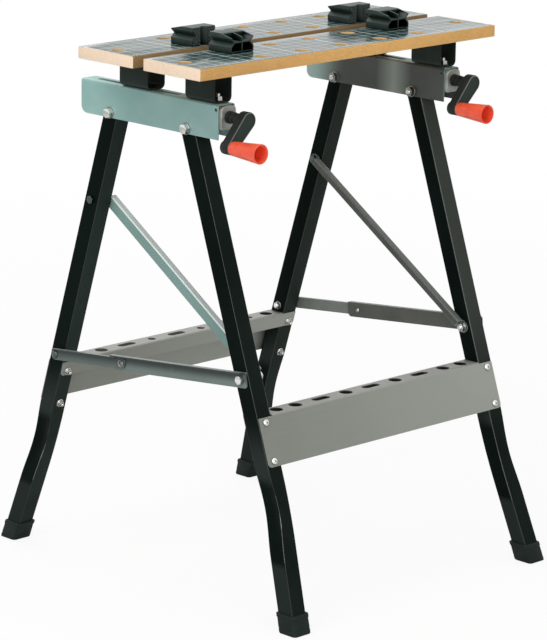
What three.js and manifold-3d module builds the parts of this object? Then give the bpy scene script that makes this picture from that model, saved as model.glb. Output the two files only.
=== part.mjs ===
// Folding workbench: two jaw planks on slotted rails, folding legs, trays, braces and links.
// Millimetres, +Z up, X along the planks, -Y towards the user. Origin on the floor, mid footprint.
// Pairs are drawn for the right (+X) side and mirrored, so "outer" is away from x = 0.
import * as THREE from 'three';
import { mergeVertices } from 'three/addons/utils/BufferGeometryUtils.js';
import Module from 'manifold-3d';

const wasm = await Module();
wasm.setup();

// Running clearance between neighbouring pieces
const gap = 0.3;

// Jaw planks
const topHeight = 790;
const plankLength = 605;
const plankWidth = 116;
const plankThickness = 17;
const jawGap = 21.6;
const jawGapY = -29;
const plankEdge = 0.8;
const dogHole = 20;
const dogHolePitch = 80;
const dogHoleEdge = 25.5;
const endHoleInset = 24;

// Rails and jaw brackets
const legSpacing = 462.8;
const railSheet = 1.6;
const railHeight = 50;
const railLength = 288;
const railFrontY = -135;
const railBend = 2.4;
const railRearCorner = 11;
const slotWidth = 9;
const slotFrontY = -36;
const slotRearY = 128;
const bracketHeight = 41.4;
const bracketWidth = 34;
const bracketLength = 59;
const bracketSheet = 2.2;
const bracketBend = 5.5;
const bracketFlange = 10;

// Legs and feet
const legTube = 28;
const legWall = 1.6;
const legCorner = 4;
const legClearance = 0.4;
const pivotDrop = 43;
const frontPivotY = -69.5;
const pivotSpacing = 161.3;
const footSpread = 608;
const footKick = 18;
const kickHeight = 165;
const kickBlend = 45;
const crimpLength = 130;
const crimpDepth = 7;
const footHeight = 28;
const footWall = 2.6;
const footSole = 5;

// Trays
const traySheet = 1.2;
const trayBend = 2;
const trayHeight = 296;
const trayPanel = 72;
const trayLip = 24;
const trayTabDrop = 3.4;
const trayWidth = 488;
const trayCorner = 6;
const trayRound = 20;
const traySmall = 13;
const traySlot = 33;
const traySlotWidth = 13;
const trayPitch = 51.6;
const trayEndInset = 51;

// Brace and folding links: pivots are distances along the legs from the rail pivots
const braceAtRear = 140.6;
const braceAtFront = 362;
const braceWidth = 17;
const braceDepth = 12;
const braceInner = 10;
const braceEnd = 12;
const braceSheet = 1.7;
const linkAtRear = 399.7;
const longLink = 251;
const linkSheet = 2;
const linkFlange = 8;
const linkFlangeStart = 4;
const longLinkWidth = 23;
const shortLinkWidth = 17.4;
const longLinkOverlap = 20;
const rivetHole = 5;

// Fasteners
const bolt = 8;
const boltHead = 13;
const boltHeadHeight = 5.5;
const washer = 17;
const washerHeight = 1.2;
const boltChamfer = 0.8;
const smallHead = 11;
const smallHeadHeight = 4;
const rivetHead = 12;
const rivetHeadHeight = 2.6;

// Screws, cranks and grips
const screwDrop = 18;
const screwDiameter = 10;
const screwRearY = 132;
const nutSize = 19;
const blockLength = 20;
const blockFront = 5;
const blockHeight = 34;
const blockCorner = 7;
const sleeveDiameter = 15.5;
const sleeveLength = 26;
const armLength = 47;
const armAngle = 43;
const armThickness = 15;
const armHubRadius = 12.5;
const armEndRadius = 10;
const armBevel = 1.4;
const gripLength = 56;
const gripSmall = 20;
const gripLarge = 28.6;
const gripWall = 2.2;
const gripBase = 12;
const pinDiameter = 6;
const pinHead = 11;

// Bench dogs
const dogWidth = 45;
const dogDepth = 45.2;
const dogNose = 19.3;
const dogHeight = 27;
const dogBackHeight = 22;
const dogGrooveHeight = 15;
const dogFlat = 23;
const dogGroove = 6;
const dogPocket = 19;
const dogVee = 7;
const dogWall = 2.4;
const dogPeg = 19.4;
const dogPegLength = 19;

// Heights and places that follow from the sizes above
const plankBottom = topHeight - plankThickness;
const bracketTop = plankBottom - gap;
const bracketBottom = bracketTop - bracketHeight;
const railTop = bracketBottom - gap;
const railBottom = railTop - railHeight;
const railRearY = railFrontY + railLength;
const pivotZ = railTop - pivotDrop;
const rearPivotY = frontPivotY + pivotSpacing;
const screwZ = railTop - screwDrop;
const legX = legSpacing / 2;
const legHalf = legTube / 2;
const railInner = legHalf + legClearance;
const railOuter = railInner + railSheet;
const boltRadius = bolt / 2;
const boltHole = boltRadius + gap;

// Solids

const round = 12;

function toSolid(geometry) {
  const bare = geometry.clone();
  const extra = Object.keys(bare.attributes).filter((name) => name !== 'position');
  extra.forEach((name) => bare.deleteAttribute(name));
  const merged = mergeVertices(bare, 1e-5);
  return new wasm.Manifold(new wasm.Mesh({
    numProp: 3,
    vertProperties: new Float32Array(merged.attributes.position.array),
    triVerts: new Uint32Array(merged.index.array),
  }));
}

function toGeometry(body) {
  const mesh = body.getMesh();
  const geometry = new THREE.BufferGeometry();
  const points = new Float32Array(mesh.vertProperties);
  geometry.setAttribute('position', new THREE.BufferAttribute(points, 3));
  geometry.setIndex(new THREE.BufferAttribute(new Uint32Array(mesh.triVerts), 1));
  geometry.computeVertexNormals();
  return geometry;
}

const fuse = (...bodies) => wasm.Manifold.union(bodies);
const cut = (body, ...tools) => wasm.Manifold.difference([body, ...tools]);
const mirrorX = (body) => body.mirror([1, 0, 0]);

const v2 = (x, y) => new THREE.Vector2(x, y);
const v3 = (x, y, z) => new THREE.Vector3(x, y, z);

// Outline with its corners rounded; radius is one number or one per corner.
function fillet(points, radius, closed = true, steps = 3) {
  const out = [];
  points.forEach((corner, i) => {
    const r = Array.isArray(radius) ? radius[i] : radius;
    const end = !closed && (i === 0 || i === points.length - 1);
    if (end || !r) { out.push(corner.clone()); return; }
    const a = points[(i + points.length - 1) % points.length].clone().sub(corner);
    const b = points[(i + 1) % points.length].clone().sub(corner);
    const half = Math.acos(THREE.MathUtils.clamp(a.dot(b) / a.length() / b.length(), -1, 1)) / 2;
    const limit = Math.min(a.length(), b.length()) * (closed ? 0.5 : 0.98);
    const back = Math.min(r / Math.tan(half), limit);
    const start = corner.clone().addScaledVector(a.normalize(), back);
    const stop = corner.clone().addScaledVector(b.normalize(), back);
    const centre = corner.clone().addScaledVector(a.clone().add(b).normalize(), back / Math.cos(half));
    const from = start.clone().sub(centre), to = stop.clone().sub(centre);
    const turn = Math.atan2(from.cross(to), from.dot(to));
    for (let k = 0; k <= steps; k++) {
      out.push(from.clone().rotateAround(v2(0, 0), turn * k / steps).add(centre));
    }
  });
  return out;
}

// Outline of a bent strip of sheet: path is its middle line, radius the inside of each bend.
function strip(path, sheet, radius) {
  const side = (sign) => path.map((p, i) => {
    const before = i ? p.clone().sub(path[i - 1]).normalize() : null;
    const after = i < path.length - 1 ? path[i + 1].clone().sub(p).normalize() : null;
    const d = before && after ? before.clone().add(after).normalize() : before ?? after;
    const stretch = before && after ? 1 / d.dot(after) : 1;
    return p.clone().add(v2(-d.y, d.x).multiplyScalar(sign * sheet / 2 * stretch));
  });
  const bend = (sign) => path.map((p, i) => {
    if (!i || i === path.length - 1) return 0;
    const turn = p.clone().sub(path[i - 1]).cross(path[i + 1].clone().sub(p));
    return turn * sign > 0 ? radius : radius + sheet;
  });
  return [...fillet(side(1), bend(1), false), ...fillet(side(-1), bend(-1), false).reverse()];
}

const ring = (x, y, r, n = round) => Array.from({ length: n }, (_, i) =>
  v2(x + r * Math.cos(2 * Math.PI * (i + 0.5) / n), y + r * Math.sin(2 * Math.PI * (i + 0.5) / n)));

// A hole's outline: its flats, not its corners, lie at the radius, so a round pin turns in it.
const bore = (x, y, r, n = 8) => ring(x, y, r / Math.cos(Math.PI / n), n);

// Outline round two circles, for arms, obround plates and slots.
function pill(a, ra, b, rb, n = 8) {
  const along = Math.atan2(b.y - a.y, b.x - a.x);
  const lean = Math.acos((ra - rb) / a.distanceTo(b));
  const out = [];
  for (let i = 0; i <= n; i++) {
    const t = along + lean + (2 * Math.PI - 2 * lean) * i / n;
    out.push(v2(a.x + ra * Math.cos(t), a.y + ra * Math.sin(t)));
  }
  for (let i = 0; i <= n; i++) {
    const t = along - lean + 2 * lean * i / n;
    out.push(v2(b.x + rb * Math.cos(t), b.y + rb * Math.sin(t)));
  }
  return out;
}

// Frames that carry an outline's plane: its two directions, then the direction of extrusion.
const alongX = new THREE.Matrix4().makeBasis(v3(0, 1, 0), v3(0, 0, 1), v3(1, 0, 0));
const alongY = new THREE.Matrix4().makeBasis(v3(1, 0, 0), v3(0, 0, 1), v3(0, -1, 0));
const alongZ = new THREE.Matrix4();

function prism(outline, frame, from, to, bevel = 0) {
  const sign = frame === alongY ? -1 : 1;
  const near = Math.min(sign * from, sign * to), far = Math.max(sign * from, sign * to);
  const geometry = new THREE.ExtrudeGeometry(new THREE.Shape(outline), {
    depth: far - near - 2 * bevel, steps: 1, bevelEnabled: bevel > 0,
    bevelThickness: bevel, bevelSize: bevel, bevelOffset: -bevel, bevelSegments: 1,
  });
  geometry.translate(0, 0, near + bevel);
  return toSolid(geometry.applyMatrix4(frame));
}

const rect = (x0, x1, y0, y1) => [v2(x0, y0), v2(x1, y0), v2(x1, y1), v2(x0, y1)];
const box = (x0, x1, y0, y1, z0, z1) => prism(rect(x0, x1, y0, y1), alongZ, z0, z1);
const hexagon = (x, y, across) => ring(x, y, across / Math.sqrt(3), 6);

// Turned piece: profile of (radius, distance along -Y) about an axis through x, z.
function turned(profile, x, z, n = 16) {
  const geometry = new THREE.LatheGeometry([...profile, profile[0]].map(([r, h]) => v2(r, h)), n);
  geometry.applyMatrix4(new THREE.Matrix4().makeBasis(v3(1, 0, 0), v3(0, -1, 0), v3(0, 0, -1)));
  const body = toSolid(geometry.translate(x, 0, z));
  return body.volume() < 0 ? toSolid(flip(geometry)) : body;
}

function flip(geometry) {
  const index = geometry.index.array;
  for (let i = 0; i < index.length; i += 3) [index[i], index[i + 1]] = [index[i + 1], index[i]];
  return geometry;
}

// Skin over a stack of rings with the same number of points, closed at both ends.
function loft(rings) {
  const n = rings[0].length;
  const points = rings.flat();
  const faces = [];
  for (let k = 0; k + 1 < rings.length; k++) {
    for (let i = 0; i < n; i++) {
      const a = k * n + i, b = k * n + (i + 1) % n;
      faces.push(a, b, b + n, a, b + n, a + n);
    }
  }
  const cap = (k, turn) => THREE.ShapeUtils.triangulateShape(rings[k].map((p) => v2(p.x, p.y)), [])
    .forEach(([a, b, c]) => faces.push(...(turn ? [a, c, b] : [a, b, c]).map((i) => k * n + i)));
  cap(0, true);
  cap(rings.length - 1, false);
  const geometry = new THREE.BufferGeometry().setFromPoints(points);
  geometry.setIndex(faces);
  return toSolid(geometry);
}

// A leg's own frame: down along the leg, out away from the other leg.
function legFrame(pivotY, footY) {
  const lean = Math.atan2(Math.abs(footY - pivotY), pivotZ);
  const side = Math.sign(footY);
  return {
    pivotY, side, lean,
    at: (down, out = 0) => v2(
      pivotY + side * (down * Math.sin(lean) + out * Math.cos(lean)),
      pivotZ - down * Math.cos(lean) + out * Math.sin(lean)),
    axisY: (z) => pivotY + side * (pivotZ - z) * Math.tan(lean),
    downTo: (z, out = 0) => (pivotZ - z + out * Math.sin(lean)) / Math.cos(lean),
  };
}

const frontLeg = legFrame(frontPivotY, -footSpread / 2);
const rearLeg = legFrame(rearPivotY, footSpread / 2);
const pivotA = v2(rearPivotY, pivotZ);
const pivotB = v2(frontPivotY, pivotZ);
const pivotC = rearLeg.at(braceAtRear);
const pivotD = frontLeg.at(braceAtFront);
const pivotE = rearLeg.at(linkAtRear);
const linkLine = pivotE.clone().sub(pivotD);
const pivotF = pivotD.clone().addScaledVector(linkLine.clone().normalize(), longLink);
const shortLink = pivotE.distanceTo(pivotF);

// Rails

function rail() {
  const x = railOuter - railSheet / 2, top = railTop - railSheet / 2;
  const profile = [v2(-x, railBottom), v2(-x, top), v2(x, top), v2(x, railBottom)];
  const body = prism(strip(profile, railSheet, railBend), alongY, railFrontY, railRearY);
  const slot = pill(v2(0, slotFrontY), slotWidth / 2, v2(0, slotRearY), slotWidth / 2);
  const corner = railRearCorner;
  const wide = railOuter + 1;
  const spare = cut(
    box(-wide, wide, railRearY - corner, railRearY + 1, railBottom - 1, railBottom + corner),
    prism(ring(railRearY - corner, railBottom + corner, corner, 16), alongX, -wide - 1, wide + 1));
  const hole = (y, z) => prism(bore(y, z, boltHole), alongX, -wide, wide);
  return cut(body, prism(slot, alongZ, railTop - 8, railTop + 1), spare,
    hole(rearPivotY, pivotZ), hole(frontPivotY, pivotZ)).translate([legX, 0, 0]);
}

function jawBracket(y) {
  const x = bracketWidth / 2 - bracketSheet / 2, lip = bracketWidth / 2 - bracketFlange;
  const low = bracketBottom + bracketSheet / 2, high = bracketTop - bracketSheet / 2;
  const path = [v2(-lip, high), v2(-x, high), v2(-x, low), v2(x, low), v2(x, high), v2(lip, high)];
  const half = bracketLength / 2, web = bracketBottom + bracketSheet;
  const body = prism(strip(path, bracketSheet, bracketBend), alongY, y - half, y + half);
  const hole = prism(bore(0, y, boltHole), alongZ, bracketBottom - 1, web + 1);
  return cut(body, hole).translate([legX, 0, 0]);
}

// Planks and dogs

const frontPlankY = jawGapY - jawGap / 2 - plankWidth / 2;
const rearPlankY = jawGapY + jawGap / 2 + plankWidth / 2;
const rowOffset = plankWidth / 2 - dogHoleEdge;

function plank(y) {
  const outline = rect(-plankLength / 2, plankLength / 2, y - plankWidth / 2, y + plankWidth / 2);
  const body = prism(outline, alongZ, plankBottom, topHeight, plankEdge);
  const spots = [-2, -1, 0, 1, 2].flatMap((i) =>
    [v2(i * dogHolePitch, y - rowOffset), v2(i * dogHolePitch, y + rowOffset)]);
  const end = plankLength / 2 - endHoleInset;
  spots.push(v2(-end, y), v2(end, y));
  const hole = (p) => prism(bore(p.x, p.y, dogHole / 2, 14), alongZ, plankBottom - 1, topHeight + 1);
  return cut(body, ...spots.map(hole));
}

// Bench dog about its peg: jaw face at +Y, roof falling to the pocketed back at -Y.
function dog() {
  const w = dogWidth / 2, back = dogNose - dogDepth;
  const base = topHeight + gap, mid = base + dogGrooveHeight, top = base + dogHeight;
  const side = [v2(back, base), v2(dogNose, base), v2(dogNose, top), v2(dogNose - dogFlat, top),
    v2(back, base + dogBackHeight)];
  const body = prism(fillet(side, [1, 1, 1.5, 5, 1], true, 2), alongX, -w, w);
  const groove = (s) => prism([v2(s * (w + 1), mid - dogGroove - 1), v2(s * (w + 1), mid + dogGroove + 1),
    v2(s * (w - dogGroove), mid)], alongY, back - 1, dogNose + 1);
  const notch = [v2(-dogVee, dogNose + 0.01), v2(dogVee, dogNose + 0.01), v2(0, dogNose - dogVee)];
  const vee = prism(notch, alongZ, base - 1, top + 1);
  const rib = dogWall / 2, wall = w - dogWall, neck = wall - dogGroove, lip = dogGroove + 1;
  const pocket = (s, floor, roof, low, high) => prism([v2(s * rib, floor), v2(s * low, floor),
    v2(s * wall, low === neck ? mid + lip : mid - lip), v2(s * high, roof), v2(s * rib, roof)],
  alongY, back - 1, back + dogPocket);
  const pockets = [1, -1].flatMap((s) => [pocket(s, base + dogWall, mid - rib, wall, neck),
    pocket(s, mid + rib, top + 1, neck, wall)]);
  const peg = prism(ring(0, 0, dogPeg / 2, 14), alongZ, topHeight - dogPegLength, base + 1);
  return fuse(cut(body, groove(1), groove(-1), vee, ...pockets), peg);
}

// Legs: horizontal sections follow the lean, the kick near the floor and the crimp at the bend.

function kick(z) {
  const slope = footKick / kickHeight, from = kickHeight + kickBlend;
  if (z >= from) return 0;
  if (z <= kickHeight - kickBlend) return slope * (kickHeight - z);
  return slope * (from - z) ** 2 / (4 * kickBlend);
}

function crimp(z) {
  const t = (z - kickHeight) / (crimpLength / 2);
  return Math.abs(t) < 1 ? crimpDepth * Math.cos(t * Math.PI / 2) ** 2 : 0;
}

function legSection(frame, z, grow) {
  const hx = legHalf + grow, hy = hx / Math.cos(frame.lean), r = Math.max(legCorner + grow, 0.8);
  const corners = [v2(-hx, -hy), v2(hx, -hy), v2(hx, 0), v2(hx, hy), v2(-hx, hy)];
  return fillet(corners, [r, r, 0, r, r], true, 2).map((p) => {
    const press = p.x > hx * 0.3 ? crimp(z) * (0.5 + 0.5 * (1 - (p.y / hy) ** 2)) : 0;
    return v3(legX + kick(z) + p.x - press, frame.axisY(z) + p.y, z);
  });
}

function legLevels(from, to) {
  const steps = 5, levels = [from];
  const low = kickHeight - crimpLength / 2, high = kickHeight + crimpLength / 2;
  for (let i = 0; i <= steps; i++) {
    const z = low + (high - low) * i / steps;
    if (z > from + 1 && z < to - 1) levels.push(z);
  }
  return [...levels, to];
}

const legColumn = (frame, grow, from, to) =>
  loft(legLevels(from, to).map((z) => legSection(frame, z, grow)));

function leg(frame, pivots) {
  const bottom = footSole + gap, top = pivotZ + legHalf;
  const tube = cut(legColumn(frame, 0, bottom, top), legColumn(frame, -legWall, bottom - 5, top + 5));
  const across = (outline) => prism(outline, alongX, legX - legTube, legX + legTube);
  const above = across([frame.at(0, legTube), frame.at(-legTube, legTube),
    frame.at(-legTube, -legTube), frame.at(0, -legTube)]);
  const end = across(bore(frame.pivotY, pivotZ, legHalf, 16));
  const holes = pivots.map((p) => across(bore(p.x, p.y, boltHole)));
  return cut(tube, cut(above, end), ...holes);
}

function foot(frame) {
  const level = (z, wall) => {
    const h = legHalf + wall;
    return fillet(rect(-h, h, -h, h), legCorner + 1, true, 2).map((p) =>
      v3(legX + kick(z) + p.x, frame.axisY(z) + p.y, z));
  };
  const cap = loft([level(0, footWall - 0.6), level(1.5, footWall + 0.6),
    level(footHeight - 4, footWall + 0.2), level(footHeight - 3, footWall + 0.8),
    level(footHeight, footWall + 0.5)]);
  return cut(cap, legColumn(frame, gap, footSole, footHeight + 10));
}

// Trays: one bent sheet, panel outside the legs, shelf between them and lip on their inner faces.

function tray(frame, openings) {
  const off = legHalf + gap + traySheet / 2, top = trayHeight - traySheet / 2;
  const start = frame.downTo(top, off);
  const path = [frame.at(start + trayPanel, off), frame.at(start, off),
    frame.at(frame.downTo(top, -off), -off), frame.at(frame.downTo(top, -off) + trayLip, -off)];
  const half = trayWidth / 2, inner = legX - legHalf - legClearance;
  const sheet = prism(strip(path, traySheet, trayBend), alongX, -half, half);
  const room = legHalf + gap / 2;
  const clear = [frame.at(start - 20, room), frame.at(start + trayPanel + 20, room),
    frame.at(start + trayPanel + 20, -room), frame.at(start - 20, -room)];
  const middle = frame.axisY(trayHeight), bends = trayHeight - trayTabDrop;
  const upper = rect(middle - 40, middle + 40, bends, trayHeight + 5);
  const end = (s) => [
    prism(clear, alongX, s * inner, s * (half + 1)),
    prism(upper, alongX, s * inner, s * (half + 1)),
    cornerTool(frame, s * half, start + trayPanel, off),
    cornerTool(frame, s * half, frame.downTo(top, -off) + trayLip, -off),
  ];
  const hole = ([kind, x]) => {
    const reach = (traySlot - traySlotWidth) / 2, r = traySlotWidth / 2;
    const shape = kind === 'slot' ? pill(v2(x - reach, middle), r, v2(x + reach, middle), r, 5)
      : ring(x, middle, (kind === 'small' ? traySmall : trayRound) / 2);
    return prism(shape, alongZ, trayHeight - 4, trayHeight + 4);
  };
  return cut(sheet, ...end(1), ...end(-1), ...openings.map(hole));
}

// Rounds a sheet's free lower corner at x, in the plane of the leg's face.
function cornerTool(frame, x, down, out) {
  const s = Math.sign(x), r = trayCorner, n = 4;
  const shape = [v2(x + s, down + 1), v2(x - s * r, down + 1)];
  for (let i = 0; i <= n; i++) {
    const t = Math.PI / 2 * i / n;
    shape.push(v2(x - s * r + s * r * Math.sin(t), down - r + r * Math.cos(t)));
  }
  shape.push(v2(x + s, down - r));
  const o = frame.at(0, out - 3), d = frame.at(1, out - 3).sub(o), up = frame.at(0, out - 2).sub(o);
  const basis = new THREE.Matrix4().makeBasis(v3(1, 0, 0), v3(0, d.x, d.y), v3(0, up.x, up.y));
  const geometry = new THREE.ExtrudeGeometry(new THREE.Shape(shape), { depth: 6, bevelEnabled: false });
  geometry.applyMatrix4(basis.setPosition(0, o.x, o.y));
  return toSolid(basis.determinant() < 0 ? flip(mergeVertices(geometry)) : geometry);
}

// Bars that run from one pivot to another, drawn lying along +X and set in place afterwards.

function barFrame(from, to) {
  const a = to.clone().sub(from).normalize();
  const b = a.x > 0 ? v2(-a.y, a.x) : v2(a.y, -a.x);
  const basis = new THREE.Matrix4().makeBasis(v3(0, a.x, a.y), v3(0, b.x, b.y), v3(Math.sign(a.x), 0, 0));
  return basis.setPosition(0, from.x, from.y);
}

const place = (body, matrix) => body.transform(matrix.elements).translate([legX, 0, 0]);

// Downward channel: the outer wall carries the pivots, roof and inner wall stop short of the nuts.
function brace() {
  const length = pivotC.distanceTo(pivotD), r = braceWidth / 2, face = legHalf + gap;
  const outer = prism(pill(v2(0, 0), r, v2(length, 0), r), alongZ, -face - braceSheet, -face);
  const inside = -face - braceDepth, start = braceEnd, end = length - braceEnd;
  const roof = box(start, end, r - braceSheet, r, inside, -face - braceSheet / 2);
  const inner = box(start, end, r - braceInner, r, inside, inside + braceSheet);
  const holes = [0, length].map((x) => prism(bore(x, 0, boltHole), alongZ, -face - 5, -face + 5));
  return place(cut(fuse(outer, roof, inner), ...holes), barFrame(pivotD, pivotC));
}

function longLinkBar() {
  const r = longLinkWidth / 2, face = legHalf + gap, end = longLink + longLinkOverlap;
  const web = prism(fillet(rect(-r, end, -r, r), [4, 6, 0.5, 2]), alongZ, face, face + linkSheet);
  const flange = box(-linkFlangeStart, end, r - linkSheet, r, face + linkSheet / 2, face + linkFlange);
  const holes = [[0, boltHole], [longLink, rivetShank + gap]].map(([x, h]) =>
    prism(bore(x, 0, h), alongZ, face - 1, face + linkSheet + 1));
  return place(cut(fuse(web, flange), ...holes), barFrame(pivotD, pivotE));
}

const rivetShank = rivetHole / 2 + 0.9;
const shortFace = legHalf + gap + linkSheet + gap;
const shortTop = longLinkWidth / 2 - linkSheet - gap;

function shortLinkBar() {
  const r = shortLinkWidth / 2, low = shortTop - shortLinkWidth;
  const outline = fillet(rect(longLink - r, longLink + shortLink + r, low, shortTop), r - 0.4);
  const web = prism(outline, alongZ, shortFace, shortFace + linkSheet);
  const flange = box(longLink + r, longLink + shortLink + r * 0.3, shortTop - linkSheet, shortTop,
    shortFace + linkSheet / 2, legHalf + gap + linkFlange);
  const holes = [[longLink, rivetShank + gap], [longLink + shortLink, boltHole]].map(([x, h]) =>
    prism(bore(x, 0, h), alongZ, shortFace - 1, shortFace + linkSheet + 1));
  return place(cut(fuse(web, flange), ...holes), barFrame(pivotD, pivotE));
}

// Hollow rivet through both links, flush with the long link so that it clears the folded front leg.
function linkRivet() {
  const out = shortFace + linkSheet + gap;
  const shank = prism(ring(0, 0, rivetShank), alongZ, legHalf + gap * 1.5, out + 1);
  const rim = prism(ring(0, 0, rivetShank + 2.1), alongZ, out, out + 1.4, 0.5);
  const hole = prism(ring(0, 0, rivetHole / 2), alongZ, legHalf - 3, out + 5);
  return place(cut(fuse(shank, rim), hole).translate([longLink, 0, 0]), barFrame(pivotD, pivotE));
}

// Bolts lie along X. Faces are distances from the leg's middle, inner face first.
function throughBolt(p, inner, outer, outerHead) {
  const disc = (x0, x1, d, n) => prism(ring(p.x, p.y, d / 2, n), alongX, x0, x1);
  const seat = inner - washerHeight, nut = seat - boltHeadHeight;
  return fuse(disc(nut - 3, outer + washerHeight + 1, bolt, 8), ...outerHead,
    disc(seat, inner, washer), hexHead(p, nut, seat)).translate([legX, 0, 0]);
}

const hexHead = (p, x0, x1) => prism(hexagon(p.x, p.y, boltHead), alongX, x0, x1, boltChamfer);

const washerHead = (p, x) => [prism(ring(p.x, p.y, washer / 2), alongX, x, x + washerHeight),
  hexHead(p, x + washerHeight, x + washerHeight + boltHeadHeight)];

const pivotBolt = (p) =>
  throughBolt(p, -railOuter - gap, railOuter + gap, washerHead(p, railOuter + gap));

function linkBolt() {
  const outer = legHalf + gap + linkSheet + gap;
  return throughBolt(pivotD, -legHalf - gap - braceSheet - gap, outer, washerHead(pivotD, outer));
}

// The links' rear pivot is open: bolt and spacer stay with the leg, the headed stub with the link.
function shortLinkBolt() {
  const spacer = prism(ring(pivotE.x, pivotE.y, rivetHead / 2), alongX, legHalf + gap, shortFace - gap);
  return throughBolt(pivotE, -legHalf - gap, legHalf - washerHeight, [spacer]);
}

function shortLinkRivet() {
  const circle = (r, n) => ring(pivotE.x, pivotE.y, r, n), outer = shortFace + linkSheet + gap;
  return fuse(prism(circle(boltRadius, 8), alongX, shortFace - gap / 2, outer + 1),
    prism(circle(rivetHead / 2), alongX, outer, outer + rivetHeadHeight, boltChamfer))
    .translate([legX, 0, 0]);
}

// The upper brace pivot is open too: head and shank stay with the leg, nut and stub with the brace.
function braceBolt() {
  const circle = ring(pivotC.x, pivotC.y, boltRadius, 8);
  const shank = prism(circle, alongX, -legHalf + legWall, legHalf + gap + 2);
  const face = legHalf + gap, head = hexagon(pivotC.x, pivotC.y, smallHead);
  return fuse(shank, prism(head, alongX, face, face + smallHeadHeight, boltChamfer)).translate([legX, 0, 0]);
}

function braceNut() {
  const inner = -legHalf - gap - braceSheet - gap;
  const circle = ring(pivotC.x, pivotC.y, boltRadius, 8);
  const stub = prism(circle, alongX, inner - boltHeadHeight - 3, -legHalf - gap);
  return fuse(stub, hexHead(pivotC, inner - boltHeadHeight, inner)).translate([legX, 0, 0]);
}

// Screws: bearing block in the rail's front end, spindle, and a nut that hangs from the rear bracket.

const blockRearY = railFrontY - blockFront + blockLength;
const blockFrontY = railFrontY - blockFront;

function bearingBlock() {
  const half = railInner - gap, top = railTop - railSheet - gap;
  const outline = fillet(rect(-half, half, top - blockHeight, top), [3, 3, blockCorner, blockCorner]);
  const body = prism(outline, alongY, blockFrontY, blockRearY, 0.8);
  const hole = prism(bore(0, screwZ, screwDiameter / 2 + gap), alongY, blockFrontY - 1, blockRearY + 1);
  return cut(body, hole).translate([legX, 0, 0]);
}

function screw() {
  const r = screwDiameter / 2, front = sleeveFrontY + sleeveLength * 0.3;
  const rear = -screwRearY, tip = r - 1.2;
  const profile = [[0, rear], [tip, rear], [r, rear + 1.2], [r, -front], [0, -front]];
  const collar = prism(ring(0, screwZ, r + 3), alongY, blockRearY + gap, blockRearY + gap + 5);
  return fuse(turned(profile, 0, screwZ, 12), collar).translate([legX, 0, 0]);
}

function screwNut() {
  const h = nutSize / 2, y = rearPlankY;
  const block = prism(fillet(rect(-h, h, screwZ - h, screwZ + h), 2), alongY, y - h, y + h);
  const web = bracketBottom + bracketSheet + gap;
  const stud = prism(ring(0, y, boltRadius, 8), alongZ, screwZ + h - 1, web + 2);
  const head = prism(hexagon(0, y, boltHead), alongZ, web, web + boltHeadHeight, 0.8);
  const hole = prism(bore(0, screwZ, screwDiameter / 2 + gap), alongY, y - h - 1, y + h + 1);
  return fuse(cut(block, hole), stud, head).translate([legX, 0, 0]);
}

// Cranks: sleeve against the block, arm in front of the plank's edge, free grip on a fixed pin.

const sleeveRearY = blockFrontY - gap;
const sleeveFrontY = sleeveRearY - sleeveLength;
const armFrontY = sleeveFrontY - armThickness;
const armTip = v2(0, -armLength).rotateAround(v2(0, 0), -THREE.MathUtils.degToRad(armAngle));

function crank(x) {
  const outline = pill(v2(0, 0), armHubRadius, armTip, armEndRadius, 10);
  const arm = prism(outline, alongY, armFrontY, sleeveFrontY, armBevel);
  const sleeve = prism(ring(0, 0, sleeveDiameter / 2, 16), alongY, sleeveFrontY - 3, sleeveRearY);
  const spindle = bore(0, 0, screwDiameter / 2 + gap / 2, 16);
  const hole = prism(spindle, alongY, sleeveFrontY + sleeveLength * 0.3 - gap, sleeveRearY + 1);
  const pin = bore(armTip.x, armTip.y, pinDiameter / 2 + gap / 2);
  const seat = prism(pin, alongY, armFrontY - 1, sleeveFrontY - 3);
  return cut(fuse(arm, sleeve), hole, seat).translate([x, 0, screwZ]);
}

function grip(x) {
  const s = gripSmall / 2, l = gripLarge / 2, base = pinDiameter / 2 + gap;
  const start = -armFrontY + gap, end = start + gripLength, floor = start + gripBase;
  const profile = [[base, start], [s - 1, start], [s, start + 1], [l, end - 1], [l - 0.8, end],
    [l - gripWall, end], [s - gripWall + 1, floor], [base, floor]];
  return turned(profile, x + armTip.x, screwZ + armTip.y);
}

function gripPin(x) {
  const r = pinDiameter / 2, head = pinHead / 2, seat = -armFrontY + gap + gripBase + gap;
  const root = -sleeveFrontY + 4;
  const profile = [[0, root], [r, root], [r, seat], [head, seat], [head, seat + 2],
    [head - 1.5, seat + 3.5], [0, seat + 3.5]];
  return turned(profile, x + armTip.x, screwZ + armTip.y, 12);
}

// Materials and assembly

const paint = {
  plank: { color: 0xd79a52, roughness: 0.6, metalness: 0 },
  rail: { color: 0x8fb0ab, roughness: 0.42, metalness: 0.35 },
  black: { color: 0x14181a, roughness: 0.3, metalness: 0.1 },
  plastic: { color: 0x1b1e20, roughness: 0.55, metalness: 0 },
  tray: { color: 0x8b8b80, roughness: 0.5, metalness: 0.3 },
  link: { color: 0x7f9a96, roughness: 0.45, metalness: 0.35 },
  zinc: { color: 0xc9ccce, roughness: 0.3, metalness: 0.9 },
  red: { color: 0xff3b22, roughness: 0.45, metalness: 0 },
};

const bench = new THREE.Group();
bench.name = 'folding_workbench';

function add(name, body, coat) {
  const mesh = new THREE.Mesh(toGeometry(body), new THREE.MeshStandardMaterial(paint[coat]));
  mesh.name = name;
  bench.add(mesh);
}

function addPair(name, body, coat) {
  add(`${name}_right`, body, coat);
  add(`${name}_left`, mirrorX(body), coat);
}

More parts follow.
